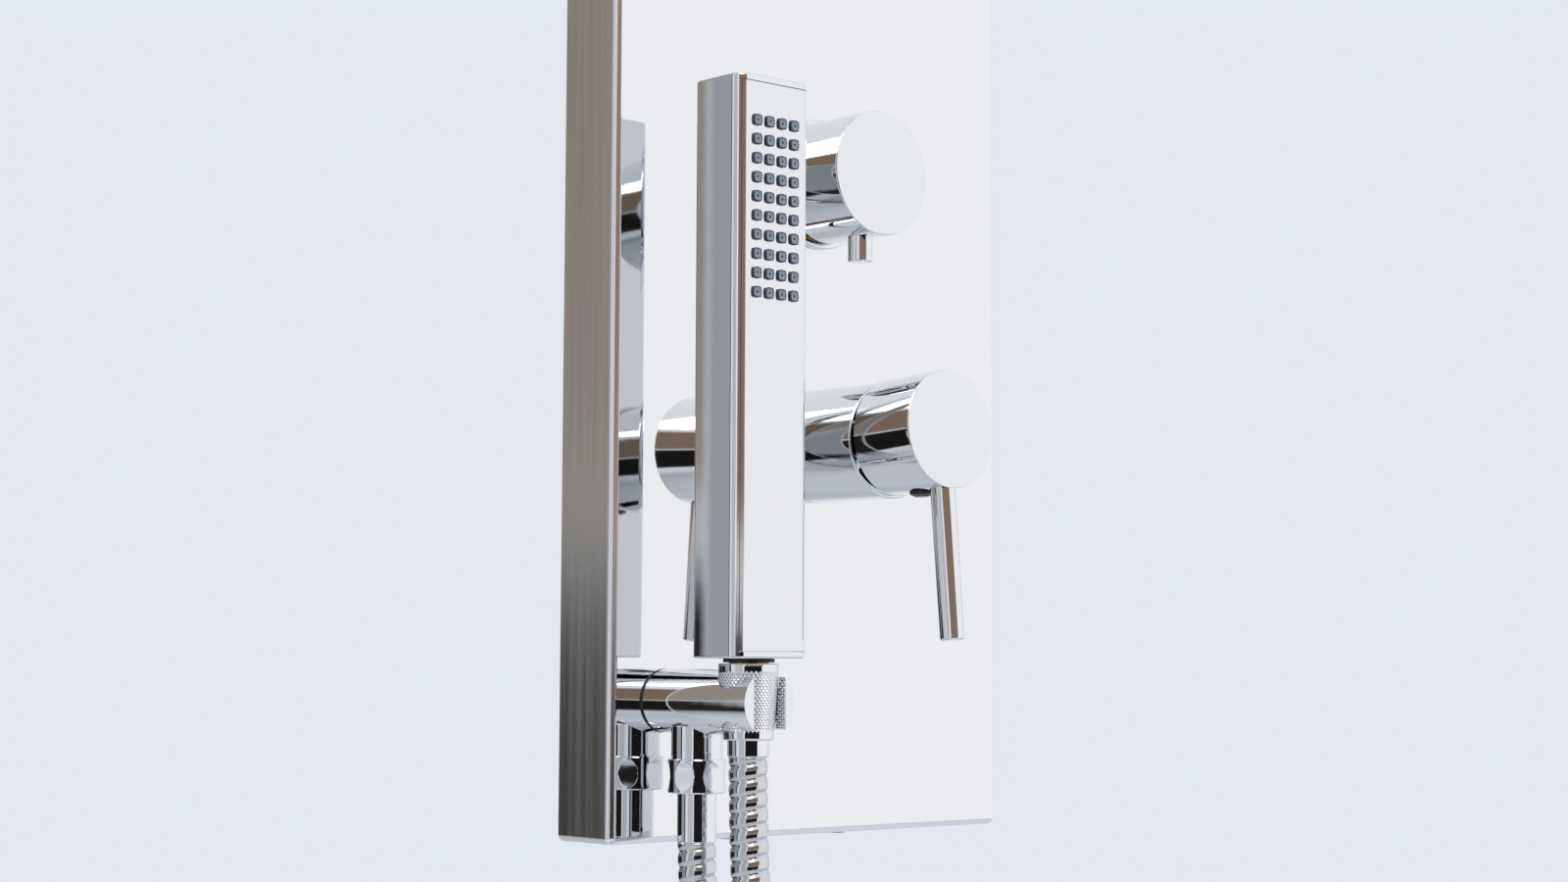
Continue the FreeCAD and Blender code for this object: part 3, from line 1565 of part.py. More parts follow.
def rain_head():
    """The square head: a shell with a boss under the ball, its nozzle mat and the plate that holds it."""
    top = BALL_Z + " - boss_below"
    half = "(head_width / 2)"
    inner = "(head_width / 2 - head_wall)"
    bottom = "(%s - head_height)" % top

    def upright(box):
        return box.ZLength > sheet.head_height / 2

    box = rounded_block(
        "head_box",
        ("0", "%s - %s" % (RAIN_Y, half), bottom),
        "head_width",
        "head_width",
        "head_height",
        [(upright, "head_edge")],
    )
    boss_at = ("0", RAIN_Y, top)
    boss = rod("head_boss", "up", boss_at, "boss_radius", "boss_below - boss_above")
    hollow = block(
        "head_hollow",
        ("-" + inner, "%s - %s" % (RAIN_Y, inner), bottom + " - head_top"),
        ("2 * " + inner, "2 * " + inner, "head_height"),
    )
    cavity = ball("head_cavity", ("0", RAIN_Y, BALL_Z), "seat_radius + seat_play")
    inlet_at = ("0", RAIN_Y, top + " - 2 * head_top")
    inlet = rod("head_inlet", "up", inlet_at, "water_bore", "boss_below")
    piece(cut("rain_head_shell", fuse("head_solid", box, boss), hollow, cavity, inlet))

    body = doc.addObject("PartDesign::Body", "rain_head_plate")
    plate_half = "(%s - face_gap)" % inner
    face = outline(
        body,
        "rain_plate_face",
        "XZ_Plane",
        rectangle("-" + plate_half, "-" + plate_half, plate_half, plate_half),
    )
    pad = body.newObject("PartDesign::Pad", "rain_plate_pad")
    pad.Profile = face
    pad.Reversed = True
    bind(pad, "Length", "face_plate")
    pattern = ("head_rows", "head_rows", "head_pitch", "head_pitch")
    last_row = "(head_rows - 1) * head_pitch / 2"
    side = "nozzle_side + 2 * nozzle_gap"
    square = outline(body, "rain_plate_hole", "XZ_Plane", first_nozzle(side, *pattern, last_row))
    hole = body.newObject("PartDesign::Pocket", "rain_plate_holes")
    hole.Profile = square
    bind(hole, "Length", "2 * face_plate")
    patterned(body, hole, square, *pattern)
    piece(put(body, ("0", RAIN_Y, bottom), STAND_UP))
    mat_at = ("0", RAIN_Y + " + " + plate_half, bottom + " + face_plate")
    nozzle_mat(
        "rain_nozzle_mat",
        mat_at,
        STAND_UP,
        plate_half,
        "2 * " + plate_half,
        *pattern,
        "%s + %s" % (plate_half, last_row),
    )


panel()
lower_bracket()
upper_bracket()
diverter_valve()
diverter_fittings()
diverter_knob()
mixer_valve()
mixer_fittings()
spindle_carrier()
handle()
arm()
arm_nut, arm_elbow = behind_panel("arm", ARM_X, "arm_height", "up")
rain_nut, rain_elbow = behind_panel("rain", "0", RAIN_Z, "down")
piece(together("panel_nuts", arm_nut, rain_nut))
piece(together("panel_elbows", arm_elbow, rain_elbow))
pipes()
outlet_connection()
hand_connection()
hand_shower_body()
hand_shower_inside()
face_plate()
nozzle_mat(
    "handset_nozzle_mat",
    (ARM_X, HAND_FRONT_Y + " + face_sink + face_plate", HAND_BOTTOM + " + hand_wall + face_gap"),
    AIM["up"],
    "(hand_width / 2 - hand_wall - face_gap)",
    "hand_length - 2 * hand_wall - 2 * face_gap",
    "nozzle_columns",
    "nozzle_rows",
    "nozzle_across",
    "nozzle_down",
    "hand_length - hand_wall - face_gap - nozzle_below_top",
)
hose_run("hose_outlet_run", OUTLET_ROUTE)
hose_run("hose_handset_run", HAND_ROUTE)
hose_coil()
rain_arm()
rain_swivel()
rain_head()

doc.recompute()
for thing in doc.Objects:
    if "Invalid" in thing.State or "Error" in thing.State:
        raise RuntimeError("%s is %s" % (thing.Name, thing.State))
for thing in pieces:
    if thing.Shape.isNull() or not thing.Shape.isValid() or not thing.Shape.Solids:
        raise RuntimeError("%s has no valid shape" % thing.Label)

os.makedirs("parts", exist_ok=True)
for thing in pieces:
    thing.Shape.exportStep("parts/%s.step" % thing.Label)
print("%d pieces written" % len(pieces))
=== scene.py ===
# %% [markdown]
# # Shower panel column
# A shower panel is a shallow steel tray on the wall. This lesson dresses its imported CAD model: the
# polished tray, the turned and plated fittings, the hand shower with its rubber nozzles and the metal
# hose. Nearly all of it is chrome, and chrome has no look of its own. So the lesson spends its care on
# smooth surfaces with small rounded edges, and on what stands around them to be reflected.

import json
import math

import bmesh
import bpy
import numpy as np
from mathutils import Matrix, Vector


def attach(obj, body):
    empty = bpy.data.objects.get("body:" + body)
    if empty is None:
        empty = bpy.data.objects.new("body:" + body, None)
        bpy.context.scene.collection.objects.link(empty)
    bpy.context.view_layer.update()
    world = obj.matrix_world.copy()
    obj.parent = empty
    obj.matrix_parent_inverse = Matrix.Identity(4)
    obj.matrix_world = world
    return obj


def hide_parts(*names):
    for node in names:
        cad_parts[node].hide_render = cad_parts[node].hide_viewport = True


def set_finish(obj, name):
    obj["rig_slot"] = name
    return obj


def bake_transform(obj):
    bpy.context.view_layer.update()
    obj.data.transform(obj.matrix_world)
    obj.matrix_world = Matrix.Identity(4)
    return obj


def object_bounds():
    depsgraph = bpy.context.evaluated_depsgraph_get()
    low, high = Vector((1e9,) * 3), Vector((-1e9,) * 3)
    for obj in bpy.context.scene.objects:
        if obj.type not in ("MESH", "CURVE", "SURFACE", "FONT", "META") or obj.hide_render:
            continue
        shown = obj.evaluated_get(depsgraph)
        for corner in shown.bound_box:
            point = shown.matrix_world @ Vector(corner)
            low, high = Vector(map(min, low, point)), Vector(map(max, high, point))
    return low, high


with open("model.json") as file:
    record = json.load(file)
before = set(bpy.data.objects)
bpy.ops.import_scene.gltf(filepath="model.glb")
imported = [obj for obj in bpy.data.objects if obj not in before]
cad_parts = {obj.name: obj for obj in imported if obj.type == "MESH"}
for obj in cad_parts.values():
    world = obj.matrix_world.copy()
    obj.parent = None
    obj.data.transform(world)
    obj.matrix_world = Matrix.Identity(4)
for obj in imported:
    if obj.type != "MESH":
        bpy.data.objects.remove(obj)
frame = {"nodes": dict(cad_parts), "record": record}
cad_box = [list(corner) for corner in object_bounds()]
print("CAD box in metres:", cad_box)

MM = 0.001

# %% [markdown]
# ## The camera
# The photograph was taken from the panel's left and a little below its middle, with a long lens. The
# numbers come from a fit to the straight edges and circles of the real object. A long lens keeps the
# sides of the tray nearly parallel, which a wide lens close by would not.

# %% Camera
CAMERA_AT = np.array([-0.7184, -0.8166, 0.0542])
CAMERA_YAW = math.radians(41.763)
CAMERA_PITCH = math.radians(4.643)
CAMERA_ROLL = 0.0041


def camera_axes(yaw, pitch, roll):
    """Right, up and forward: yaw turns from +Y to +X, pitch lifts, roll turns about forward."""
    forward = np.array([
        math.sin(yaw) * math.cos(pitch),
        math.cos(yaw) * math.cos(pitch),
        math.sin(pitch),
    ])
    level = np.array([math.cos(yaw), -math.sin(yaw), 0.0])
    up = np.cross(level, forward)
    right = math.cos(roll) * level + math.sin(roll) * up
    return right, np.cross(right, forward), forward


right, up, forward = camera_axes(CAMERA_YAW, CAMERA_PITCH, CAMERA_ROLL)
lens = bpy.data.cameras.new("camera")
lens.sensor_width = 36
lens.lens = 60.17
lens.clip_start = 0.02
camera = bpy.data.objects.new("camera", lens)
bpy.context.scene.collection.objects.link(camera)
turn = np.eye(4)
turn[:3, 0], turn[:3, 1], turn[:3, 2], turn[:3, 3] = right, up, -forward, CAMERA_AT
camera.matrix_world = Matrix(turn.tolist())
bpy.context.scene.camera = camera
print("camera looks along", forward.round(3))

# %% [markdown]
# ## How the surfaces are made
# Every fitting here was turned, drawn or bent, so each is a grid of points: one direction runs along a
# profile, the other runs round an axis. Working on whole arrays keeps a piece to a few lines. A real
# edge is never perfectly sharp: the plating and polishing round it, and that thin round edge is the
# line of light that makes chrome look real. `eased` puts it into a profile.

# %% Profiles with eased edges
ROUND_STEPS = 5
NEARLY_STRAIGHT = 0.06


def eased(corners, radius):
    """Each inner corner of a polyline becomes an arc: its centre lies on the bisector, its ends are where it
    touches both sides. The radius shrinks where a side is too short for it."""
    corners = [np.array(corner, float) for corner in corners]
    out = [corners[0]]
    for before, corner, after in zip(corners, corners[1:], corners[2:]):
        into, away = corner - before, after - corner
        a, b = np.linalg.norm(into), np.linalg.norm(away)
        into, away = into / a, away / b
        turn_angle = math.acos(max(-1.0, min(1.0, float(into @ away))))
        if turn_angle < NEARLY_STRAIGHT:
            out.append(corner)
            continue
        tangent = min(radius * math.tan(turn_angle / 2), 0.45 * a, 0.45 * b)
        r = tangent / math.tan(turn_angle / 2)
        side = away - into
        centre = corner + side / np.linalg.norm(side) * (r / math.cos(turn_angle / 2))
        start, end = corner - into * tangent, corner + away * tangent
        s, e = start - centre, end - centre
        for step in np.linspace(0, 1, ROUND_STEPS):
            mix = math.sin((1 - step) * turn_angle) * s + math.sin(step * turn_angle) * e
            out.append(centre + mix / math.sin(turn_angle))
    out.append(corners[-1])
    return np.array(out)


# %% Grids of points to meshes
def new_piece(name, points, faces):
    """A mesh object at the origin from points in metres and faces as lists of point numbers."""
    mesh = bpy.data.meshes.new(name)
    mesh.from_pydata(points, [], faces)
    mesh.validate()
    thing = bpy.data.objects.new(name, mesh)
    bpy.context.scene.collection.objects.link(thing)
    return thing


def grid_faces(rows, columns, closed):
    """Quads between neighbouring rows and columns; a closed grid joins its last column to its first."""
    row = np.arange(rows - 1)[:, None] * columns
    column = np.arange(columns if closed else columns - 1)[None, :]
    after = (column + 1) % columns
    quads = np.stack([row + column, row + after, row + columns + after, row + columns + column], -1)
    return quads.reshape(-1, 4).tolist()


def tidy(thing, sharp_angle=None, doubles=1e-7):
    """Merges double points, turns the faces outwards and shades smooth, with sharp edges past an angle."""
    work = bmesh.new()
    work.from_mesh(thing.data)
    bmesh.ops.remove_doubles(work, verts=work.verts, dist=doubles)
    bmesh.ops.recalc_face_normals(work, faces=work.faces)
    work.to_mesh(thing.data)
    work.free()
    thing.data.shade_smooth()
    if sharp_angle:
        thing.data.set_sharp_from_angle(angle=math.radians(sharp_angle))
    even = thing.modifiers.new("even_shading", "WEIGHTED_NORMAL")
    even.keep_sharp = True
    return thing


def stacked(name, rows, sharp_angle=None, doubles=1e-7):
    """A closed piece from rows of points in millimetres, its first and last row filled."""
    points = np.array(rows)
    count = points.shape[1]
    faces = grid_faces(len(points), count, True)
    faces += [list(range(count)), [(len(points) - 1) * count + i for i in range(count)]]
    return tidy(new_piece(name, points.reshape(-1, 3) * MM, faces), sharp_angle, doubles)


def to_place(local, at, axis, across=None):
    """Points with (along, side, side) coordinates to the object's: along an axis, from a place, in metres."""
    axis = np.array(axis, float) / np.linalg.norm(axis)
    if across is None:
        across = (1, 0, 0) if abs(axis[0]) < 0.9 else (0, 0, 1)
    side = np.array(across, float) - axis * float(np.dot(across, axis))
    side /= np.linalg.norm(side)
    other = np.cross(axis, side)
    return np.array(at, float) + local[..., 0:1] * axis + local[..., 1:2] * side + local[..., 2:3] * other


def turned(name, at, axis, profile, around=128, sharp_angle=None):
    """A turned piece: point (a, r) of the profile goes to a along the axis and round it at r.
    The profile's first and last points lie on the axis, or the profile closes on itself."""
    profile = np.asarray(profile, float)
    angle = np.linspace(0, 2 * math.pi, around, endpoint=False)
    a = np.repeat(profile[:, :1], around, 1)
    local = np.stack([a, profile[:, 1:2] * np.cos(angle), profile[:, 1:2] * np.sin(angle)], -1)
    points = to_place(local, at, axis) * MM
    thing = new_piece(name, points.reshape(-1, 3), grid_faces(len(profile), around, True))
    return tidy(thing, sharp_angle)


def ring_profile(a0, a1, inner, outer, ease):
    """The closed profile of a ring from a0 to a1 along the axis, with eased outer edges."""
    middle = (a0, (inner + outer) / 2)
    return eased([middle, (a0, outer), (a1, outer), (a1, inner), (a0, inner), middle], ease)


made = []


def fit(thing, body, material_slot, *nodes):
    """Hands a piece to the frame: the body it rides on, its slot, and the CAD nodes that it stands for."""
    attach(thing, body)
    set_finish(thing, material_slot)
    if nodes:
        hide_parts(*nodes)
    made.append(thing)
    return thing


# %% [markdown]
# ## The tray
# The panel is one sheet of stainless steel folded into a shallow tray. Its front is polished to a mirror
# and its sides are brushed. A folded edge is a quarter circle, here 3 mm outside, so the tray is a
# rounded rectangle that is drawn inwards step by step while it moves forward. Inside is the same shape
# less the thickness of the sheet.

# %% Tray
PANEL = dict(half=105.0, low=-18.0, high=1182.0, depth=32.0, sheet=1.2, bend=3.0)
CORNER_STEPS = 7


def quarter_rounds(corners, radii, steps):
    """Quarter circles inside the four corners of a rectangle, anticlockwise from the upper right."""
    arc = np.linspace(0, math.pi / 2, steps)
    rounds = []
    for number, ((x, y), r) in enumerate(zip(corners, radii)):
        sx, sy = np.sign(x), (1 if number < 2 else -1)
        a = arc + number * math.pi / 2
        rounds.append(np.stack([x - sx * r + r * np.cos(a), y - sy * r + r * np.sin(a)], -1))
    return rounds


def rounded_outline(half_x, low, high, inset, radius):
    """A rectangle drawn in by inset, its corners quarter circles of the radius: x and z of each point."""
    hx, z0, z1 = half_x - inset, low + inset, high - inset
    corners = ((hx, z1), (-hx, z1), (-hx, z0), (hx, z0))
    return np.concatenate(quarter_rounds(corners, [radius] * 4, CORNER_STEPS))


def tray(name, size):
    """The folded sheet: rows of the outline from the front round the bend, back along the side, over the
    rim, and forward again inside."""
    bend, sheet, depth = size["bend"], size["sheet"], size["depth"]
    a = np.linspace(0, math.pi / 2, 8)
    outer = [(bend - bend * math.sin(t), -depth + bend - bend * math.cos(t)) for t in a]
    inner_bend = bend - sheet
    centre = sheet + inner_bend
    inner = [(centre - inner_bend * math.sin(t), -depth + centre - inner_bend * math.cos(t)) for t in a[::-1]]
    steps = [*outer, (0, -0.15), (0.15, 0), (sheet - 0.15, 0), (sheet, -0.15), *inner]
    rows = []
    for inset, y in steps:
        corner = max(0.0, bend - inset)
        xz = rounded_outline(size["half"], size["low"], size["high"], inset, corner)
        rows.append(np.stack([xz[:, 0], np.full(len(xz), y), xz[:, 1]], -1))
    return stacked(name, rows, doubles=1e-6)


panel = tray("polished_tray", PANEL)
fit(panel, "root", "polished_sheet", "panel_shell")
print("tray:", len(panel.data.polygons), "faces")

# %% [markdown]
# ## Turned fittings
# Rosettes, sleeves, knobs and levers come off a lathe, so each is only a profile. The profile's numbers
# are the CAD part's own sizes in millimetres, and each edge is eased by what polishing takes off.

# %% Diverter knob
FRONT = -32.0
FORWARD, DOWN, UPWARD = (0, -1, 0), (0, 0, -1), (0, 0, 1)

fit(
    turned("diverter_rosette_ring", (0, FRONT, 246), FORWARD, ring_profile(0, 3, 13.3, 26.7, 0.8)),
    "root", "chrome_plate", "diverter_rosette",
)
knob_outside = eased([(5.8, 22.5), (5.8, 25), (38.2, 25), (38.2, 0)], 0.6)
knob_inside = eased([(35.2, 0), (35.2, 22.5), (5.8, 22.5)], 0.3)
fit(
    turned("diverter_knob_shell", (0, FRONT, 246), FORWARD, np.vstack([knob_inside, knob_outside[1:]]), 160),
    "diverter_turning", "chrome_plate",
)
fit(
    turned("knob_boss", (0, FRONT, 246), FORWARD, eased([(20, 4.05), (20, 7.5), (36, 7.5), (36, 0)], 0.3)),
    "diverter_turning", "chrome_plate",
)
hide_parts("diverter_knob")
fit(
    turned(
        "knob_pin", (0, FRONT - 25.6, 246), DOWN,
        eased([(24.0, 0), (24.0, 5), (34.9, 5), (34.9, 0)], 0.8), 72,
    ),
    "diverter_turning", "chrome_plate", "diverter_pin",
)

# %% Mixer sleeve
sleeve = eased([(41.1, 14), (44.1, 14), (44.1, 23), (0, 23), (0, 20.6), (41.1, 20.6), (41.1, 14)], 0.8)
fit(
    turned("mixer_sleeve_tube", (0, FRONT, 138.3), FORWARD, sleeve, 160),
    "root", "chrome_plate", "mixer_sleeve",
)

# %% [markdown]
# ## Mixer handle
# The handle's cap tilts on the cartridge, and in the photograph it leans up a little, by 3 degrees. Its
# back rim was trimmed level with the sleeve, so the seam between the two stays even. In the profile the
# rim simply runs past, and each rim point then slides along the axis until it reaches that level.

# %% Handle cap
PIVOT = np.array([0, FRONT - 26, 138.3])
TILT = math.radians(3)
HANDLE_AXIS = np.array([0, -math.cos(TILT), math.sin(TILT)])
HANDLE_DOWN = np.array([0, -math.sin(TILT), -math.cos(TILT)])
RIM_Y = FRONT - 44.1 - 2.3


def on_handle(along, down=0.0):
    """A point of the handle: along its axis from the pivot, and down across it."""
    return PIVOT + HANDLE_AXIS * along + HANDLE_DOWN * down


def handle_cap(name, around=160):
    """A turned cap whose back rows stop at the level rim: a rim point slides along the axis until its y is
    the rim's."""
    ease = eased([(30, 23), (50.5, 23), (50.5, 0)], 0.4)
    inside = eased([(38, 0), (38, 21.2), (30, 21.2)], 0.5)
    profile = np.vstack([inside, ease])
    angle = np.linspace(0, 2 * math.pi, around, endpoint=False)
    down = profile[:, 1:2] * np.cos(angle)
    side = profile[:, 1:2] * np.sin(angle)
    along = np.repeat(profile[:, :1], around, 1)
    rim_along = (PIVOT[1] - RIM_Y - down * math.sin(TILT)) / math.cos(TILT)
    along = np.where(along < 35, np.maximum(rim_along, 0), along)
    points = PIVOT + along[..., None] * HANDLE_AXIS + down[..., None] * HANDLE_DOWN
    points = points + side[..., None] * np.array([1.0, 0, 0])
    return tidy(new_piece(name, points.reshape(-1, 3) * MM, grid_faces(len(profile), around, True)))


fit(handle_cap("mixer_handle_cap"), "mixer_handle", "chrome_plate", "handle_cap")
handle_boss_profile = eased([(0, 5.8), (0, 7.5), (11, 7.5), (11, 0)], 0.3)
fit(
    turned("handle_boss", on_handle(28), HANDLE_AXIS, handle_boss_profile, 64),
    "mixer_handle", "chrome_plate",
)

# %% Lever and set screw plug
RAKE = math.radians(2)
lever_along = 45 - 23 * math.tan(RAKE)
lever_axis = HANDLE_DOWN * math.cos(RAKE) + HANDLE_AXIS * math.sin(RAKE)
fit(
    turned(
        "mixer_lever_rod", on_handle(lever_along), lever_axis,
        eased([(18, 0), (18, 5), (23, 5), (81.4, 4.75), (81.4, 0)], 1.0), 72,
    ),
    "mixer_handle", "chrome_plate", "mixer_lever",
)
plug_profile = eased(
    [(20.5, 0), (20.5, 3.5), (22.6, 3.5), (22.6, 5), (23.9, 4.5), (24.8, 2.5), (24.8, 0)], 0.5,
)
fit(
    turned("set_screw_plug_cap", on_handle(33.5), HANDLE_DOWN, plug_profile, 48),
    "mixer_handle", "plug_dark", "set_screw_plug",
)

# %% [markdown]
# ## The arm
# One casting does two jobs: water leaves it downwards to the hose, and its open end is the cradle for the
# hand shower. It is a round bar with a conical seat bored from above and a slot through to its end. Cutting
# is how the real one gets its fork, so here too a boolean cuts the seat and the slot out of a turned bar.

# %% Arm
ARM = np.array([-78.0, FRONT, 36.0])
SEAT = np.array([-78.0, -80.3, 22.3])
OUTLET_AXIS, SEAT_AXIS = (-78, -50.9, 0), (-78, -80.3, 0)


def cut(thing, *tools):
    """Takes each closed tool out of the thing by a boolean, leaves plain mesh data, removes the tools."""
    thing.modifiers.clear()
    for tool in tools:
        tool.modifiers.clear()
        step = thing.modifiers.new("cut", "BOOLEAN")
        step.operation = "DIFFERENCE"
        step.solver = "EXACT"
        step.object = tool
    view = bpy.context.evaluated_depsgraph_get()
    mesh = bpy.data.meshes.new_from_object(thing.evaluated_get(view))
    thing.modifiers.clear()
    old, thing.data = thing.data, mesh
    mesh.name = thing.name
    bpy.data.meshes.remove(old)
    for tool in tools:
        bpy.data.objects.remove(tool)
    return thing


def box_tool(name, low, high):
    """A closed box between two corners in millimetres."""
    corners = np.array([[(low, high)[(i >> axis) & 1][axis] for axis in range(3)] for i in range(8)])
    faces = [[0, 2, 3, 1], [4, 5, 7, 6], [0, 1, 5, 4], [2, 6, 7, 3], [0, 4, 6, 2], [1, 3, 7, 5]]
    return new_piece(name, corners * MM, faces)


bar = turned("cradle_arm", ARM, FORWARD, [(1, 0), (1, 12.3), (60.2, 12.3), (60.2, 0)], 144)
seat_tool = turned("seat_tool", SEAT, UPWARD, [(-8, 0), (-8, 9.08), (36, 12.42), (36, 0)], 144)
slot_tool = box_tool("slot_tool", (-78 - 7.7, -120, 10), (-78 + 7.7, -80.3, 62))
cut(bar, seat_tool, slot_tool)
tidy(bar, sharp_angle=30)
fit(bar, "root", "chrome_plate", "holder_arm")
neck_profile = eased([(9, 0), (9, 9.9), (28, 9.9), (28, 6), (24, 6), (24, 0)], 0.3)
fit(turned("outlet_neck", (-78, -50.9, 36), DOWN, neck_profile, 96), "root", "chrome_plate")
print("arm:", len(bar.data.polygons), "faces")

# %% [markdown]
# ## Nuts and ferrules of the hose
# The outlet's union nut is round with six flats, each scooped by a round cutter, which leaves an oval. The
# surface takes, at each angle and height, the smaller of the nut's radius and the distance of the scoop.
# The conical nut under the hand shower is knurled: two crossing sets of fine grooves leave small diamonds.

# %% Union nut
UNION = dict(low=1.7, high=14.6, radius=11.15, hole=7.0, floor=10.4, cutter=20.0, flats=6)
UNION_TURN = math.radians(23)


def nut_wall(name, rows, angle, at, sharp_angle=None):
    """A nut from rows of (height, radius at each angle), closed on itself, standing at a place."""
    height = np.array([row[0] for row in rows])[:, None] * np.ones(len(angle))
    radius = np.array([row[1] for row in rows])
    local = np.stack([height, radius * np.cos(angle), radius * np.sin(angle)], -1)
    points = to_place(local, at, UPWARD) * MM
    return tidy(new_piece(name, points.reshape(-1, 3), grid_faces(len(rows), len(angle), True)), sharp_angle)


def union_nut(name, size, around=288, rows=48):
    """At angle t from a flat's middle and height z from the nut's, the scoop lies at
    r = (floor + cutter - sqrt(cutter^2 - z^2)) / cos t."""
    z = np.linspace(size["low"] + 0.5, size["high"] - 0.5, rows)
    angle = np.linspace(0, 2 * math.pi, around, endpoint=False)
    part = 2 * math.pi / size["flats"]
    t = (angle - UNION_TURN + part / 2) % part - part / 2
    middle = (size["low"] + size["high"]) / 2
    scoop = size["floor"] + size["cutter"] - np.sqrt(size["cutter"] ** 2 - (z - middle) ** 2)
    wall = np.minimum(size["radius"], scoop[:, None] / np.cos(t)[None, :])
    low, high = size["low"], size["high"]
    top = [(high - 3, size["hole"]), (high - 0.1, 10.0), (high, 10.1), (high, 10.65), (high - 0.15, 11.0)]
    bottom = [(low + 0.15, 11.0), (low, 10.65), (low, 7.6)]
    top, bottom = ([(h, np.full(around, r)) for h, r in rings] for rings in (top, bottom))
    rows = top + list(zip(z[::-1], wall[::-1])) + bottom
    return nut_wall(name, rows, angle, OUTLET_AXIS, sharp_angle=12)


fit(union_nut("outlet_union", UNION), "root", "chrome_plate", "outlet_union_nut")
outlet_sleeve_profile = eased([(-3, 6), (-3, 7.5), (16.7, 7.5), (16.7, 5.5)], 0.5)
fit(
    turned("outlet_sleeve", OUTLET_AXIS, DOWN, outlet_sleeve_profile, 96),
    "root", "chrome_plate", "outlet_ferrule",
)

# %% Conical nut with its knurl
CONE = dict(low=22.3, high=50.6, bottom=9.4, top=11.55)
KNURL = dict(pitch=1.65, depth=0.35, low=25.6, high=47.4)


def conical_nut(name, around=432):
    """The cone's radius less a groove: with u round the nut and z up, both counted in pitches, the surface
    rises to a diamond where |sin(pi(u + z))| and |sin(pi(u - z))| are both large."""
    count = round(2 * math.pi * 10.5 / KNURL["pitch"])
    angle = np.linspace(0, 2 * math.pi, around, endpoint=False)
    z = np.concatenate([
        np.linspace(CONE["low"] + 0.5, KNURL["low"], 4, endpoint=False),
        np.linspace(KNURL["low"], KNURL["high"], 140),
        np.linspace(KNURL["high"], CONE["high"] - 0.5, 5)[1:],
    ])
    share = (z - CONE["low"]) / (CONE["high"] - CONE["low"])
    cone = CONE["bottom"] + (CONE["top"] - CONE["bottom"]) * share
    u = angle * count / (2 * math.pi)
    v = z / (KNURL["pitch"] * 1.25)
    ridge = np.minimum(np.abs(np.sin(math.pi * (u + v[:, None]))), np.abs(np.sin(math.pi * (u - v[:, None]))))
    zone = np.clip((z - KNURL["low"]) / 0.4, 0, 1) * np.clip((KNURL["high"] - z) / 0.4, 0, 1)
    wall = cone[:, None] - KNURL["depth"] * zone[:, None] * (1 - np.minimum(1, 1.5 * ridge))
    low = [(CONE["low"], 7.85), (CONE["low"], cone[0] - 0.5), (CONE["low"] + 0.15, cone[0] - 0.15)]
    high = [(CONE["high"] - 0.15, cone[-1] - 0.15), (CONE["high"], cone[-1] - 0.5), (CONE["high"], 9.95)]
    low, high = ([(h, np.full(around, r)) for h, r in rings] for rings in (low, high))
    thing = nut_wall(name, low + list(zip(z, wall)) + high, angle, SEAT_AXIS)
    thing.modifiers.clear()
    print("knurl:", count, "diamonds round,", len(thing.data.polygons), "faces")
    return thing


fit(conical_nut("knurled_nut"), "hose_end", "chrome_plate", "conical_nut")
hand_sleeve_profile = eased([(16.2, 5.5), (16.2, 7.8), (25, 7.8), (25, 6)], 0.5)
fit(
    turned("handset_hose_sleeve", SEAT_AXIS, UPWARD, hand_sleeve_profile, 96),
    "hose_end", "chrome_plate", "handset_ferrule",
)

# %% [markdown]
# ## Hand shower
# A slim drawn case with round upright corners, its front closed by a plate that is flat in the middle and
# falls away along both sides, so that the seam lies in the round of the corner. The case's narrow sides are
# crowned by half a millimetre, as drawn tube is, which spreads the room over them in upright bands. Forty
# rubber nozzles come through from a mat behind.

# %% Hand shower case
HAND = dict(
    x=-78.0, half=18.5, front=-94.1, back=-67.5, low=52.4, high=268.9, rear=4.5, fore=5.0, edge=1.0,
)
HAND_CROWN = 0.5


def hand_outline(size, inset, steps=12):
    """The case's cross-section drawn in by inset: four quarter circles and two crowned sides, each drawn
    in by crown * t^2, t from 0 at a quarter of the depth from the back to 1 at the front."""
    half, front, back = size["half"] - inset, size["front"] + inset, size["back"] - inset
    rear, fore = max(size["rear"] - inset, 0.05), max(size["fore"] - inset, 0.05)
    places = ((half, back), (-half, back), (-half, front), (half, front))
    corners = quarter_rounds(places, (rear, rear, fore, fore), steps)
    share = np.linspace(0, 1, 11)[1:-1, None]
    left_side = corners[1][-1] * (1 - share) + corners[2][0] * share
    right_side = corners[3][-1] * (1 - share) + corners[0][0] * share
    xy = np.concatenate([corners[0], corners[1], left_side, corners[2], corners[3], right_side])
    depth = size["back"] - size["front"]
    t = (size["back"] - depth / 4 - xy[:, 1]) / (0.75 * depth)
    xy[:, 0] -= np.sign(xy[:, 0]) * HAND_CROWN * t**2
    return xy


def level_rows(steps, outline, x, y):
    """One level row per (inset, z): the outline drawn in by inset, moved to x and y, at height z."""
    drawn = [(outline(inset), z) for inset, z in steps]
    return [np.stack([x + xy[:, 0], y + xy[:, 1], np.full(len(xy), z)], -1) for xy, z in drawn]


def edge_steps(low, high, edge):
    """Insets and heights up a box whose bottom and top edges are quarter circles of radius edge."""
    a = np.linspace(0, math.pi / 2, 5)
    bottom = [(edge - edge * math.sin(t), low + edge - edge * math.cos(t)) for t in a]
    return bottom + [(edge - edge * math.sin(t), high - edge + edge * math.cos(t)) for t in a[::-1]]


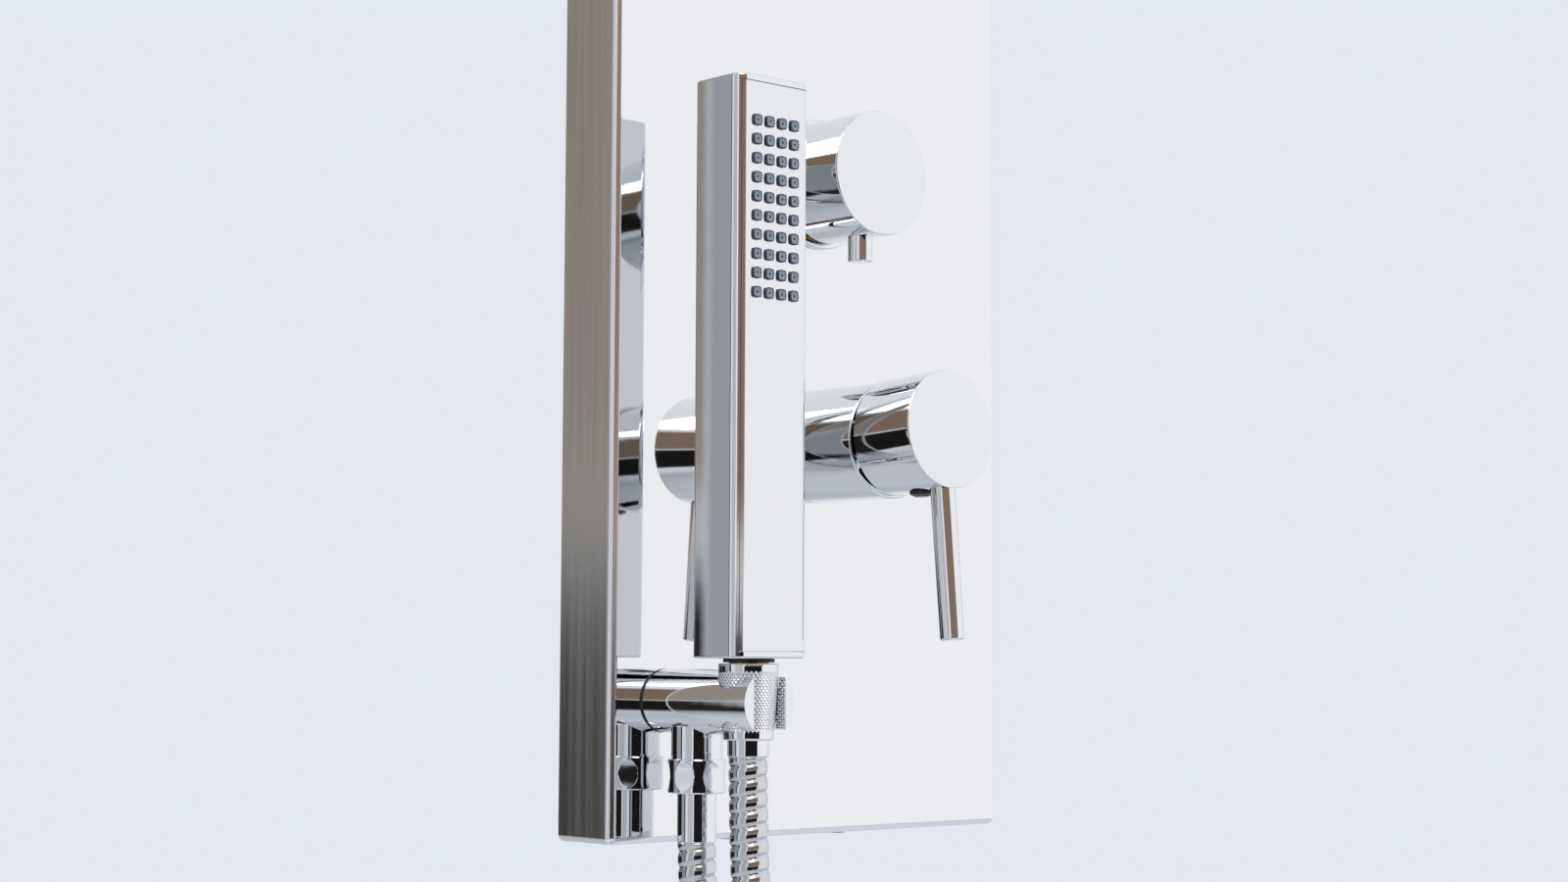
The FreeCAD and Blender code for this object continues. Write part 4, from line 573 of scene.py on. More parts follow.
hand_rows = level_rows(
    edge_steps(HAND["low"], HAND["high"], HAND["edge"]),
    lambda inset: hand_outline(HAND, inset),
    HAND["x"], 0.0,
)
case = stacked("hand_shower_case", hand_rows)
mouth = box_tool(
    "mouth",
    (HAND["x"] - 16.0, HAND["front"] - 5, HAND["low"] + 2.5),
    (HAND["x"] + 16.0, HAND["front"] + 4.3, HAND["high"] - 2.5),
)
cut(case, mouth)
tidy(case, sharp_angle=30)
fit(case, "hand_shower", "chrome_plate", "handset_body")

# %% Face plate
PLATE = dict(half=15.9, low=55.0, high=266.3, flat=-94.0, shoulder=13.0, fall=0.7, thick=2.0)


def face_plate(name, size):
    """The section is flat, and past the shoulder it falls by fall * s^2, s from 0 there to 1 at its edge."""
    s = np.linspace(0, 1, 13)
    reach = size["half"] - size["shoulder"]
    right_side = np.stack([size["shoulder"] + s * reach, size["flat"] + size["fall"] * s**2], -1)
    left_side = right_side[::-1] * (-1, 1)
    rear = size["flat"] + size["thick"]
    section = np.vstack([[(-size["half"], rear)], left_side, right_side, [(size["half"], rear)]])
    section[:, 0] += HAND["x"]
    count = len(section)
    z = np.array([size["low"], size["low"] + 0.25, size["high"] - 0.25, size["high"]])
    sink = np.array([0.25, 0, 0, 0.25])
    points = np.zeros((4, count, 3))
    points[..., 0] = section[:, 0]
    points[..., 1] = section[:, 1] + sink[:, None] * (np.arange(count) % (count - 1) > 0)
    points[..., 2] = z[:, None]
    return stacked(name, points, sharp_angle=25)


fit(face_plate("hand_shower_plate", PLATE), "hand_shower", "chrome_plate", "handset_face_plate")

# %% Nozzles
NOZZLE_RINGS = ((-1.2, 2.15), (0.65, 2.15), (1.0, 1.8), (0.7, 1.35), (0.62, 0.5), (-0.2, 0.42))
# Each ring's share of painted reflection: the rim and dish are painted light blue-grey where the glossy face
# mirrors the pale room.
NOZZLE_PAINTED_REFLECTION = (0.0, 0.0, 0.25, 1.0, 1.0, 0.0)


def nozzles(name, centres, outward, across, around=12):
    """Rounded square rings of |x|^n + |y|^n = r^n, stacked outward: a wall, a rim, a dish and the hole.
    All the nozzles are one array: the ring of one nozzle plus each nozzle's centre."""
    angle = np.linspace(0, 2 * math.pi, around, endpoint=False) + math.pi / around
    height = np.array([ring[0] for ring in NOZZLE_RINGS])
    radius = np.array([ring[1] for ring in NOZZLE_RINGS])
    power = np.where(radius > 1.0, 5.0, 2.0)[:, None]
    c, s = np.cos(angle), np.sin(angle)
    reach = (np.abs(c) ** power + np.abs(s) ** power) ** (-1 / power) * radius[:, None]
    local = np.stack([np.repeat(height[:, None], around, 1), reach * c, reach * s], -1)
    one = to_place(local, (0, 0, 0), outward, across)
    points = np.asarray(centres)[:, None, None, :] + one[None]
    rows = len(NOZZLE_RINGS)
    side = np.array(grid_faces(rows, around, True))
    faces = (side[None] + np.arange(len(centres))[:, None, None] * rows * around).reshape(-1, 4).tolist()
    for number in range(len(centres)):
        first = number * rows * around
        faces.append(list(range(first, first + around)))
        faces.append([first + (rows - 1) * around + i for i in range(around)])
    thing = new_piece(name, points.reshape(-1, 3) * MM, faces)
    thing.data.shade_smooth()
    thing.data.set_sharp_from_angle(angle=math.radians(50))
    # The rim and dish rings get a per-point weight of painted reflection, mixed to light grey in the nozzle
    # material.
    tone = np.tile(np.repeat(NOZZLE_PAINTED_REFLECTION, around), len(centres))
    light = thing.data.attributes.new("dish_painted_reflection", "FLOAT", "POINT")
    light.data.foreach_set("value", tone.astype(np.float32))
    print(name, len(centres), "nozzles,", len(faces) // len(centres), "faces each")
    return thing


columns = HAND["x"] + 6.1 * (np.arange(4) - 1.5)
rows_z = 251.7 - 7.15 * np.arange(10)
centres = [(x, PLATE["flat"], z) for z in rows_z for x in columns]
fit(
    nozzles("hand_shower_nozzles", centres, FORWARD, (1, 0, 0)),
    "hand_shower", "nozzle_silicone", "handset_nozzle_mat",
)

# %% [markdown]
# ## The hose
# The hose is a metal strip wound into a spiral, each turn hooked into the next, over a rubber tube. From
# outside it is a row of round ribs. Its whole length is 1.6 m: a stretch down from the outlet, two and a
# half turns hung below the panel, and a stretch up to the hand shower. The stretch to the hand shower is a
# mesh of its own, because it bends when the hand shower is lifted out, but its ribs carry on from the
# coil's. The line is a smooth NURBS curve through the same points as the CAD hose.

# %% Hose line
HOSE_R = 7.35
RIB_PITCH = 5.8
COIL = dict(x=-78.0, z=-225.0, radius=75.3, first_y=-46.2, last_y=-85.0, turns=2.5, per_turn=16)
outlet_route = [(-78, -50.9, -16.7), (-78, -50.9, -77), (-4, -44.5, -165), (-4, -46.2, -225)]
hand_route = [(-78, -80.3, 16.2), (-78, -80.3, -16), (-78, -86.5, -77), (-152, -87, -165), (-152, -85, -225)]
coil_route = []
coil_steps = int(COIL["turns"] * COIL["per_turn"])
for step in range(1, coil_steps):
    turn_angle = 2 * math.pi * step / COIL["per_turn"]
    y = COIL["first_y"] + (COIL["last_y"] - COIL["first_y"]) * step / coil_steps
    x = COIL["x"] + COIL["radius"] * math.cos(turn_angle)
    coil_route.append((x, y, COIL["z"] - COIL["radius"] * math.sin(turn_angle)))
route = outlet_route + coil_route + hand_route[::-1]


def nurbs_line(points):
    """The points of a smooth curve that the route's corners pull: a quadratic NURBS through both ends."""
    curve = bpy.data.curves.new("hose_line", "CURVE")
    curve.dimensions = "3D"
    curve.resolution_u = 24
    spline = curve.splines.new("NURBS")
    spline.points.add(len(points) - 1)
    for knot, point in zip(spline.points, points):
        knot.co = (*(MM * value for value in point), 1)
    spline.order_u = 3
    spline.use_endpoint_u = True
    line = bpy.data.objects.new("hose_line", curve)
    bpy.context.scene.collection.objects.link(line)
    view = bpy.context.evaluated_depsgraph_get()
    mesh = bpy.data.meshes.new_from_object(line.evaluated_get(view))
    out = np.array([vertex.co for vertex in mesh.vertices])
    bpy.data.meshes.remove(mesh)
    bpy.data.objects.remove(line)
    return out


line = nurbs_line(route)
steps = np.linalg.norm(np.diff(line, axis=0), axis=1)
run = np.concatenate([[0], np.cumsum(steps)])
HOSE_LENGTH = float(run[-1])
print("hose line: %.3f m, %d points" % (HOSE_LENGTH, len(line)))

# %% Ribbed hose
RIB_SAMPLES = 9
HOSE_AROUND = 26


def along_line(at):
    """Places and unit directions at lengths along the line, by straight mixing between its points."""
    place = np.stack([np.interp(at, run, line[:, i]) for i in range(3)], -1)
    ahead = np.stack([np.interp(at + 0.001, run, line[:, i]) for i in range(3)], -1)
    behind = np.stack([np.interp(at - 0.001, run, line[:, i]) for i in range(3)], -1)
    direction = ahead - behind
    return place, direction / np.linalg.norm(direction, axis=1)[:, None]


def still_frames(direction):
    """Side vectors that turn as little as can be: each is the last, less its part along the line."""
    side = np.zeros_like(direction)
    side[0] = np.cross(direction[0], (0, 1, 0))
    side[0] /= np.linalg.norm(side[0])
    for i in range(1, len(direction)):
        s = side[i - 1] - direction[i] * (side[i - 1] @ direction[i])
        side[i] = s / np.linalg.norm(s)
    return side, np.cross(direction, side)


rows_total = int(HOSE_LENGTH / (RIB_PITCH * MM) * RIB_SAMPLES)
at = np.linspace(0, HOSE_LENGTH, rows_total)
place, direction = along_line(at)
side, other = still_frames(direction)


def hose_piece(name, first, last):
    """A tube round rows first to last: rib height is sqrt(1 - p^2), p the place between two grooves, and the
    groove moves on by one pitch per turn round the hose, as the strip does."""
    rows = np.arange(first, last + 1)
    angle = np.linspace(0, 2 * math.pi, HOSE_AROUND, endpoint=False)
    phase = at[rows, None] / (RIB_PITCH * MM) - angle[None, :] / (2 * math.pi)
    p = 2 * (phase % 1) - 1
    rib = np.sqrt(np.clip(1 - np.abs(p) ** 2.6, 0, 1))
    radius = (HOSE_R - 1.15 + 1.15 * rib) * MM
    c, s = np.cos(angle)[None, :, None], np.sin(angle)[None, :, None]
    ring = radius[..., None] * (c * side[rows][:, None] + s * other[rows][:, None])
    points = place[rows][:, None] + ring
    faces = grid_faces(len(rows), HOSE_AROUND, True)
    faces = [face[::-1] for face in faces]
    faces.append(list(range(HOSE_AROUND)))
    faces.append([(len(rows) - 1) * HOSE_AROUND + i for i in range(HOSE_AROUND)][::-1])
    thing = new_piece(name, points.reshape(-1, 3), faces)
    work = bmesh.new()
    work.from_mesh(thing.data)
    bmesh.ops.recalc_face_normals(work, faces=work.faces)
    work.to_mesh(thing.data)
    work.free()
    thing.data.shade_smooth()
    print(name, len(faces), "faces,", round(float(at[last] - at[first]), 3), "m")
    return thing


HAND_STRETCH = 0.262
split = int(np.searchsorted(at, HOSE_LENGTH - HAND_STRETCH))
coil_hose = hose_piece("metal_hose_coil", 0, split)
hand_hose = hose_piece("metal_hose_to_hand_shower", split, rows_total - 1)
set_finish(coil_hose, "hose_steel")
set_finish(hand_hose, "hose_steel")
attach(coil_hose, "root")
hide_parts("hose_outlet_run", "hose_coil")
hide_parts("hose_handset_run")
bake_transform(hand_hose)
made += [coil_hose, hand_hose]

# %% Coil tie
TIE = dict(half=10.0, thick=1.5)


def strap(name):
    """A closed band round the coil's lowest point: a rounded rectangle carried along X, with thickness."""
    mid_y, mid_z = -65.6, -299.3
    loops = []
    for grow in (0.0, TIE["thick"]):
        hy, hz = 28.0 + grow, 8.6 + grow
        corners = ((hy, hz), (-hy, hz), (-hy, -hz), (hy, -hz))
        loops.append(np.concatenate(quarter_rounds(corners, [6.0 + grow] * 4, 8)))
    inner, outer = loops
    half = TIE["half"]
    rows = []
    over = [(-half, outer), (-half + 0.4, outer), (half - 0.4, outer), (half, outer)]
    for x, loop in [(-half, inner), *over, (half, inner), (-half, inner)]:
        rows.append(np.stack([np.full(len(loop), -78 + x), mid_y + loop[:, 0], mid_z + loop[:, 1]], -1))
    points = np.array(rows)
    faces = grid_faces(len(rows), points.shape[1], True)
    return tidy(new_piece(name, points.reshape(-1, 3) * MM, faces), sharp_angle=40)


fit(strap("coil_strap"), "root", "tie_fabric", "coil_tie")

# %% [markdown]
# ## Overhead shower
# The photograph stops below it, so it is a plain square one: a round arm out of the panel and down, a ball
# joint, and a flat head with rubber nozzles underneath. The arm is a circle carried along a straight line, a
# quarter circle and a straight line.

# %% Overhead arm
RAIN = dict(z=1130.0, y=-362.0, radius=11.0, bend=45.0, end=1060.0, ball=1044.0)


def overhead_arm(name):
    """Circles of the arm's radius whose centres follow the line: level, round the bend, down."""
    bend = RAIN["bend"]
    a = np.linspace(0, math.pi / 2, 33)
    centre_y, centre_z = RAIN["y"] + bend, RAIN["z"] - bend
    arc = np.stack([centre_y - bend * np.sin(a), centre_z + bend * np.cos(a)], -1)
    line_yz = np.vstack([[(FRONT, RAIN["z"])], arc, [(RAIN["y"], RAIN["end"])]])
    tilt_angle = np.concatenate([[0], a, [math.pi / 2]])
    angle = np.linspace(0, 2 * math.pi, 96, endpoint=False)
    r = RAIN["radius"]
    x = r * np.cos(angle)[None, :] * np.ones((len(line_yz), 1))
    out = r * np.sin(angle)[None, :]
    y = line_yz[:, :1] - out * np.sin(tilt_angle)[:, None]
    z = line_yz[:, 1:] + out * np.cos(tilt_angle)[:, None]
    rows = np.stack([x, y, z], -1)
    inner = rows[-1].copy()
    inner[:, 0] *= 6 / r
    inner[:, 1] = RAIN["y"] + (inner[:, 1] - RAIN["y"]) * 6 / r
    deeper = inner + np.array([0, 0, 6.0])
    return stacked(name, np.concatenate([rows, inner[None], deeper[None]]), sharp_angle=40)


fit(overhead_arm("overhead_arm_tube"), "root", "chrome_plate", "rain_arm")
fit(
    turned("overhead_flange", (0, FRONT, RAIN["z"]), FORWARD, ring_profile(0, 6, 11.3, 27, 1.6)),
    "root", "chrome_plate", "rain_arm_flange",
)

# %% Ball, collar and head
BALL = (0, RAIN["y"], RAIN["ball"])
turn_down = np.linspace(0, math.pi - math.asin(5.95 / 11), 40)
ball = np.stack([-11 * np.cos(turn_down), 11 * np.sin(turn_down)], -1)
fit(
    turned("overhead_ball", BALL, UPWARD, np.vstack([ball, [(24, 5.95), (24, 0)]]), 96, sharp_angle=40),
    "root", "chrome_plate", "rain_ball",
)
hollow_start = math.asin(8.5 / 12.56)
hollow_turn = np.linspace(hollow_start, -0.35, 12)
hollow = np.stack([12.56 * np.sin(hollow_turn), 12.56 * np.cos(hollow_turn)], -1)
collar_outside = eased([(-10, 15.05), (-10, 17.5), (8.5, 17.5), (8.5, 9.25)], 0.7)
collar = np.vstack([collar_outside, hollow, [(-4.4, 15.05), (-10, 15.05)]])
fit(
    turned("overhead_collar", BALL, UPWARD, collar, 128, sharp_angle=40),
    "rain_head", "chrome_plate", "swivel_collar",
)
HEAD = dict(half=100.0, low=1022.5, high=1030.5, edge=1.0)


def flat_box(name, half, low, high, edge):
    """A square box with eased edges, its middle under the ball: rows of a rounded square up its side."""
    def square(inset):
        return rounded_outline(half, -half, half, inset, max(edge - inset, 0.02))

    return stacked(name, level_rows(edge_steps(low, high, edge), square, 0.0, RAIN["y"]))


head = flat_box("overhead_head_shell", HEAD["half"], HEAD["low"], HEAD["high"], HEAD["edge"])
recess = box_tool(
    "recess", (-98.5, RAIN["y"] - 98.5, 1020), (98.5, RAIN["y"] + 98.5, HEAD["low"] + 0.4),
)
cut(head, recess)
tidy(head, sharp_angle=30)
fit(head, "rain_head", "chrome_plate", "rain_head_shell")
boss_turn = np.linspace(math.acos(3.6 / 12.56), 0, 16)
boss_hollow = np.stack([-12.56 * np.cos(boss_turn), 12.56 * np.sin(boss_turn)], -1)
boss_profile = eased([(-13.6, 0), (-13.6, 14.9), (-3, 14.9), (-3, 12.4), boss_hollow[0]], 0.3)
fit(
    turned("overhead_boss", BALL, UPWARD, np.vstack([boss_profile, boss_hollow[1:]]), 96, sharp_angle=40),
    "rain_head", "chrome_plate",
)
plate = flat_box("overhead_plate", 98.4, HEAD["low"], HEAD["low"] + 2, 0.3)
fit(plate, "rain_head", "chrome_plate", "rain_head_plate")
spots = 22 * (np.arange(8) - 3.5)
centres = [(x, RAIN["y"] + y, HEAD["low"]) for y in spots for x in spots]
fit(
    nozzles("overhead_nozzles", centres, DOWN, (1, 0, 0)),
    "rain_head", "nozzle_silicone", "rain_nozzle_mat",
)

# %% [markdown]
# ## Materials
# Nearly everything here is one of five metals. Polished chrome over brass: a mirror with a faint blue tint
# and hardly any roughness, broken only by fine wiping marks. Polished stainless sheet: a little warmer and
# never quite flat, so its reflections wander. Brushed stainless: fine upright scratches that smear the
# reflection sideways. Metals keep the default IOR, and their colour is what tints the reflection.

# %% Node helpers
def linear(hex_colour):
    """sRGB hex to linear: up to 0.04045 divide by 12.92, above it ((c + 0.055) / 1.055) ^ 2.4."""
    values = [int(hex_colour[i : i + 2], 16) / 255 for i in (1, 3, 5)]
    return tuple(v / 12.92 if v <= 0.04045 else ((v + 0.055) / 1.055) ** 2.4 for v in values) + (1,)


def add(tree, kind, settings=None, **links):
    """Adds a node, sets its properties, and gives each input a value or a link from an output."""
    node = tree.nodes.new(kind)
    for key, value in (settings or {}).items():
        setattr(node, key, value)
    for key, value in links.items():
        key = key.replace("_", " ")
        socket = node.inputs[int(key[1:])] if key[0] == "i" and key[1:].isdigit() else node.inputs[key]
        if isinstance(value, bpy.types.NodeSocket):
            tree.links.new(value, socket)
        else:
            socket.default_value = value
    return node


def new_material(name):
    """An empty node material with a Principled shader and its output; returns the tree and the shader."""
    material = bpy.data.materials.new(name)
    material.use_nodes = True
    tree = material.node_tree
    tree.nodes.clear()
    shader = add(tree, "ShaderNodeBsdfPrincipled")
    add(tree, "ShaderNodeOutputMaterial", Surface=shader.outputs[0])
    return material, tree, shader


def object_pattern(tree, scale, detail=3.0, stretch=(1, 1, 1), roughness=0.5):
    """Noise on object coordinates: scale is features per metre, stretch squeezes it along each axis."""
    place = add(tree, "ShaderNodeTexCoord")
    mapping = add(tree, "ShaderNodeMapping", Vector=place.outputs["Object"], Scale=stretch)
    return add(
        tree, "ShaderNodeTexNoise",
        Vector=mapping.outputs[0], Scale=scale, Detail=detail, Roughness=roughness,
    ).outputs[0]


def finish(tree, shader, pattern, rough, tones=None, bump=None, middle=(0.3, 0.7)):
    """Lets a pattern drive a finish. Its middle range goes to roughness, low to high. It mixes two tones for
    the base colour, and lifts the normal by a bump of (strength, distance, pattern) if they are given."""
    worn = add(
        tree, "ShaderNodeMapRange",
        Value=pattern, From_Min=middle[0], From_Max=middle[1], To_Min=rough[0], To_Max=rough[1],
    )
    tree.links.new(worn.outputs[0], shader.inputs["Roughness"])
    if tones:
        dark, light = (linear(tone) for tone in tones)
        tone = add(tree, "ShaderNodeMix", {"data_type": "RGBA"}, i0=pattern, i6=dark, i7=light)
        tree.links.new(tone.outputs[2], shader.inputs["Base Color"])
    if bump:
        relief = add(tree, "ShaderNodeBump", Strength=bump[0], Distance=bump[1], Height=bump[2])
        tree.links.new(relief.outputs[0], shader.inputs["Normal"])


# %% Chrome plate
def chrome_plate():
    """Chrome on polished brass: wiping marks about 4 mm long change the roughness a little, and polishing
    leaves a ripple of a few hundredths of a degree, 9 mm across."""
    material, tree, shader = new_material("polished_chrome_on_brass")
    shader.inputs["Base Color"].default_value = linear("#E4E6E9")
    shader.inputs["Metallic"].default_value = 1
    marks, ripple = object_pattern(tree, 260, 4.0), object_pattern(tree, 110, 1.0)
    finish(tree, shader, marks, (0.012, 0.05), bump=(0.05, 0.00025, ripple))
    return material


CHROME = chrome_plate()


# %% Polished and brushed stainless sheet
def polished_sheet():
    """Mirror-polished stainless: rolling and folding leave long soft waves, about 60 mm, and the polishing
    leaves faint upright streaks."""
    material, tree, shader = new_material("mirror_polished_stainless")
    shader.inputs["Metallic"].default_value = 1
    streaks = object_pattern(tree, 220, 3.0, (1, 1, 0.03))
    waves = object_pattern(tree, 16, 1.0, (1, 1, 0.35))
    finish(tree, shader, streaks, (0.018, 0.032), ("#E7E8EA", "#EAEBEC"), (0.12, 0.0006, waves))
    return material


def brushed_sheet():
    """Brushed stainless: upright scratches half a millimetre apart, drawn that coarse so that they show. They
    change tone, roughness and the normal."""
    material, tree, shader = new_material("brushed_stainless")
    shader.inputs["Metallic"].default_value = 1
    lines = object_pattern(tree, 1900, 4.0, (1, 1, 0.004), 0.65)
    broad = object_pattern(tree, 300, 2.0, (1, 1, 0.02))
    both = add(tree, "ShaderNodeMath", {"operation": "ADD"}, i0=lines, i1=broad).outputs[0]
    share = add(tree, "ShaderNodeMapRange", Value=both, From_Min=0.75, From_Max=1.25)
    tone = add(
        tree, "ShaderNodeMix", {"data_type": "RGBA"},
        i0=share.outputs[0], i6=linear("#D2CEC8"), i7=linear("#DCDAD5"),
    )
    tree.links.new(tone.outputs[2], shader.inputs["Base Color"])
    finish(tree, shader, both, (0.15, 0.2), bump=(0.12, 0.00006, both), middle=(0.75, 1.25))
    return material


def folded_edge():
    """The fold: the press stretches the outside of the sheet, so the mirror goes satin for its 5 mm, with a
    grain of 0.8 mm drawn out along the fold."""
    material, tree, shader = new_material("satin_stainless_fold")
    shader.inputs["Metallic"].default_value = 1
    grain = object_pattern(tree, 1250, 3.0, (1, 1, 0.05))
    finish(tree, shader, grain, (0.13, 0.19), ("#EDEDF0", "#F6F6F8"))
    return material


POLISHED = polished_sheet()
BRUSHED = brushed_sheet()
FOLD = folded_edge()


# %% Plain steel, brass, plastic, rubber and woven tie
def plain_metal(name, tones, rough, grain_mm, stretch=(1, 1, 1)):
    """A metal with grain of the given size in millimetres in its tone and roughness."""
    material, tree, shader = new_material(name)
    shader.inputs["Metallic"].default_value = 1
    grain = object_pattern(tree, 1000 / grain_mm, 4.0, stretch)
    finish(tree, shader, grain, rough, tones, (0.2, 0.00005, grain))
    return material


def moulded(name, tones, roughness, grain_mm, depth_mm):
    """A moulded plastic or rubber: dull, with a fine grain from its mould."""
    material, tree, shader = new_material(name)
    grain = object_pattern(tree, 1000 / grain_mm, 5.0)
    finish(tree, shader, grain, (roughness - 0.06, roughness + 0.06), tones, (0.3, depth_mm * MM, grain))
    return material


ROLLED_STEEL = plain_metal("rolled_stainless", ("#8F8F8D", "#B2B2B0"), (0.28, 0.45), 1.5, (1, 1, 0.2))
HOSE_STEEL = plain_metal("polished_hose_strip", ("#C3C5C8", "#D8DADC"), (0.05, 0.12), 3.0)
BRASS = plain_metal("turned_brass", ("#A8854A", "#C9A667"), (0.22, 0.4), 1.2)
CARTRIDGE = moulded("moulded_acetal", ("#D9D8D2", "#E6E5E0"), 0.45, 0.8, 0.02)
SEAL = moulded("black_seal_rubber", ("#101112", "#1B1C1D"), 0.6, 0.6, 0.03)
PLUG = moulded("dark_moulded_plug", ("#131416", "#202225"), 0.25, 0.8, 0.02)
NOZZLE = moulded("slate_silicone", ("#2C343B", "#3D474F"), 0.36, 0.5, 0.02)
nozzle_tree = NOZZLE.node_tree
nozzle_shader = nozzle_tree.nodes["Principled BSDF"]
skin = nozzle_shader.inputs["Base Color"].links[0].from_socket
# The nozzle's rim and dish are painted light blue-grey by that weight: a painted reflection of the pale room
# over the dark silicone.
dish_painted_reflection = add(nozzle_tree, "ShaderNodeAttribute", {"attribute_name": "dish_painted_reflection"})
painted_reflection_tint = add(
    nozzle_tree, "ShaderNodeMix", {"data_type": "RGBA"},
    i0=dish_painted_reflection.outputs["Fac"], i6=skin, i7=linear("#8E9AA6"),
)
nozzle_tree.links.new(painted_reflection_tint.outputs[2], nozzle_shader.inputs["Base Color"])
WOVEN = moulded("woven_nylon_tie", ("#16171A", "#2A2C30"), 0.8, 0.7, 0.12)

# %% Give each piece its material
for_slot = {
    "polished_sheet": POLISHED, "bracket_steel": ROLLED_STEEL, "chrome_plate": CHROME,
    "hose_steel": HOSE_STEEL, "raw_brass": BRASS, "cartridge_plastic": CARTRIDGE,
    "nozzle_silicone": NOZZLE, "seal_rubber": SEAL, "plug_dark": PLUG, "tie_fabric": WOVEN,
}
for thing in made:
    thing.data.materials.clear()
    thing.data.materials.append(for_slot[thing["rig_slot"]])
panel.data.materials.append(BRUSHED)
side_on = np.zeros(len(panel.data.polygons) * 3)
panel.data.polygons.foreach_get("normal", side_on)
centre = np.zeros(len(panel.data.polygons) * 3)
panel.data.polygons.foreach_get("center", centre)
side_on, centre = side_on.reshape(-1, 3), centre.reshape(-1, 3)
is_side = (np.abs(side_on[:, 1]) < 0.02) | (centre[:, 1] > -0.028)
is_fold = (np.abs(side_on[:, 1]) < 0.985) & ~is_side
panel.data.materials.append(FOLD)
panel.data.polygons.foreach_set("material_index", (is_side + 2 * is_fold).astype(np.int32))
for part in frame["record"]["subparts"]:
    node = frame["nodes"][part["node"]]
    for number in range(len(node.material_slots)):
        node.material_slots[number].material = for_slot[part["material_slot"]]
    if not node.material_slots:
        node.data.materials.append(for_slot[part["material_slot"]])
print("materials:", len(bpy.data.materials))

# %% [markdown]
# ## The studio
# Chrome shows the room. The room here is pale all round, and a few large cards stand out of the camera's
# sight. Light from a sleeve mostly meets the mirror front before it gets away, so the dark bands on the
# sleeves come from cards behind the camera: brown, black and olive, one below the other. Upright cards on
# the left draw the stripes on every upright corner. All are painted into the world by direction, hidden from
# the camera itself, and soft at their edges.

# %% World with cards
CARDS = (
    # name, azimuth from and to, elevation from and to, colour, softness; degrees, 0 is the wall, 90 is left
    ("brown door", -10, 41, 3, 60, "#9A928A", 1.5),
    ("dark step", -10, 41, -40, 2, "#2A2725", 1.5),
    ("grey curtain", 41, 62, -60, 40, "#A3A5A8", 1.2),
    ("dark door frame", 62, 69, -60, 60, "#24211F", 1.2),
    ("grey cupboard", 86, 117, -60, 60, "#C3C6CA", 2.5),
    ("brown cupboard", 127, 195, 2, 26, "#8C7767", 2.0),
    ("dark counter", 122, 190, -22, 1, "#1E1C1B", 1.5),
    ("olive floor", 122, 190, -50, -29, "#77766C", 2.5),
)


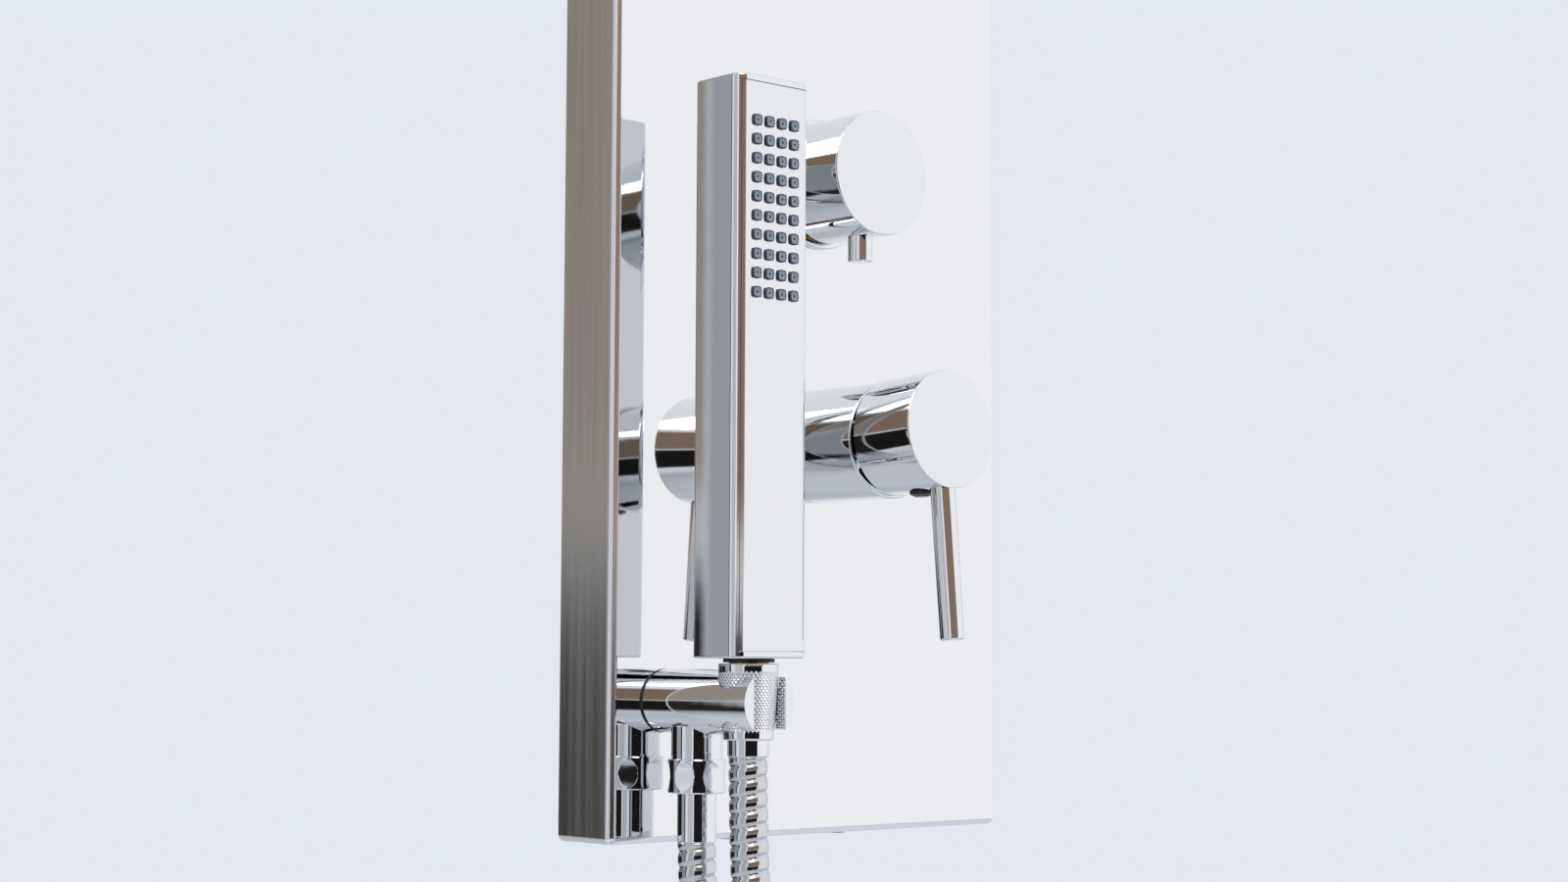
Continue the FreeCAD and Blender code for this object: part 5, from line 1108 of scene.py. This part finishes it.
def studio_world():
    """The pale room, brighter in front than behind, with the cards over it. Azimuth and elevation of the
    direction come from arctangent and arcsine; a card's mask is a product of four soft steps."""
    world = bpy.data.worlds.new("studio")
    bpy.context.scene.world = world
    world.use_nodes = True
    tree = world.node_tree
    tree.nodes.clear()
    place = add(tree, "ShaderNodeTexCoord")
    axes = add(tree, "ShaderNodeSeparateXYZ", Vector=place.outputs["Generated"])
    x, y, z = axes.outputs
    to_left = add(tree, "ShaderNodeMath", {"operation": "MULTIPLY"}, i0=x, i1=-1.0)
    angle = add(tree, "ShaderNodeMath", {"operation": "ARCTAN2"}, i0=to_left.outputs[0], i1=y)
    degrees = add(tree, "ShaderNodeMath", {"operation": "MULTIPLY"}, i0=angle.outputs[0], i1=180 / math.pi)
    behind = add(tree, "ShaderNodeMath", {"operation": "LESS_THAN"}, i0=degrees.outputs[0], i1=-90.0)
    turns = add(tree, "ShaderNodeMath", {"operation": "MULTIPLY"}, i0=behind.outputs[0], i1=360.0)
    azimuth = add(tree, "ShaderNodeMath", {"operation": "ADD"}, i0=degrees.outputs[0], i1=turns.outputs[0])
    rise = add(tree, "ShaderNodeMath", {"operation": "ARCSINE"}, i0=z)
    elevation = add(tree, "ShaderNodeMath", {"operation": "MULTIPLY"}, i0=rise.outputs[0], i1=180 / math.pi)
    azimuth, elevation = azimuth.outputs[0], elevation.outputs[0]

    def painted(under, edges, colour):
        """A colour laid over what is under it, where every (value, from, to) edge has been passed."""
        mask = 1.0
        for value, start, end in edges:
            edge = add(
                tree, "ShaderNodeMapRange", {"interpolation_type": "SMOOTHSTEP"},
                Value=value, From_Min=start, From_Max=end,
            )
            mask = add(tree, "ShaderNodeMath", {"operation": "MULTIPLY"}, i0=mask, i1=edge.outputs[0])
            mask = mask.outputs[0]
        return add(tree, "ShaderNodeMix", {"data_type": "RGBA"}, i0=mask, i6=under, i7=colour).outputs[2]

    room = painted(linear("#E3E8F0"), [(y, 0.25, -0.35)], (1.02, 1.02, 1.03, 1))
    room = seen = painted(room, [(z, -0.2, -0.7)], linear("#CFD2D6"))
    for _, a0, a1, e0, e1, colour, soft in CARDS:
        edges = [(azimuth, a0 - soft, a0 + soft), (azimuth, a1 + soft, a1 - soft)]
        edges += [(elevation, e0 - soft, e0 + soft), (elevation, e1 + soft, e1 - soft)]
        room = painted(room, edges, linear(colour))
    ray = add(tree, "ShaderNodeLightPath")
    shown = add(
        tree, "ShaderNodeMix", {"data_type": "RGBA"}, i0=ray.outputs["Is Camera Ray"], i6=room, i7=seen,
    )
    background = add(tree, "ShaderNodeBackground", Color=shown.outputs[2], Strength=1.0)
    add(tree, "ShaderNodeOutputWorld", Surface=background.outputs[0])


studio_world()

# %% [markdown]
# ## Floor and lamp
# A pale floor lies under the lowest turn of the hose and fades out at its rim, so no edge shows. One large
# soft lamp above on the left gives the rubber and the brushed sides some shape. It is weak: the room does
# most of the lighting, so that colours come out about as written.

# %% Floor and lamp
FLOOR_Z = cad_box[0][2] - 0.004
floor = turned("floor", (0, 0, FLOOR_Z / MM), UPWARD, [(0, 0), (0, 600), (0, 1200), (-1, 1200), (-1, 0)], 96)
floor.modifiers.clear()
material, tree, shader = new_material("pale_studio_floor")
shader.inputs["Base Color"].default_value = linear("#E6E9EE")
shader.inputs["Roughness"].default_value = 0.9
place_node = add(tree, "ShaderNodeTexCoord")
distance = add(tree, "ShaderNodeVectorMath", {"operation": "LENGTH"}, i0=place_node.outputs["Object"])
fade = add(
    tree, "ShaderNodeMapRange",
    Value=distance.outputs["Value"], From_Min=0.6, From_Max=1.15, To_Min=1, To_Max=0,
)
tree.links.new(fade.outputs[0], shader.inputs["Alpha"])
floor.data.materials.clear()
floor.data.materials.append(material)

lamp_data = bpy.data.lights.new("soft_lamp", "AREA")
lamp_data.energy = 9
lamp_data.size = 0.9
lamp = bpy.data.objects.new("soft_lamp", lamp_data)
bpy.context.scene.collection.objects.link(lamp)
lamp.location = (-0.9, -1.3, 1.5)
lamp.rotation_euler = (Vector((0, 0, 0.2)) - lamp.location).to_track_quat("-Z", "Y").to_euler()

bpy.context.scene.view_settings.view_transform = "Standard"
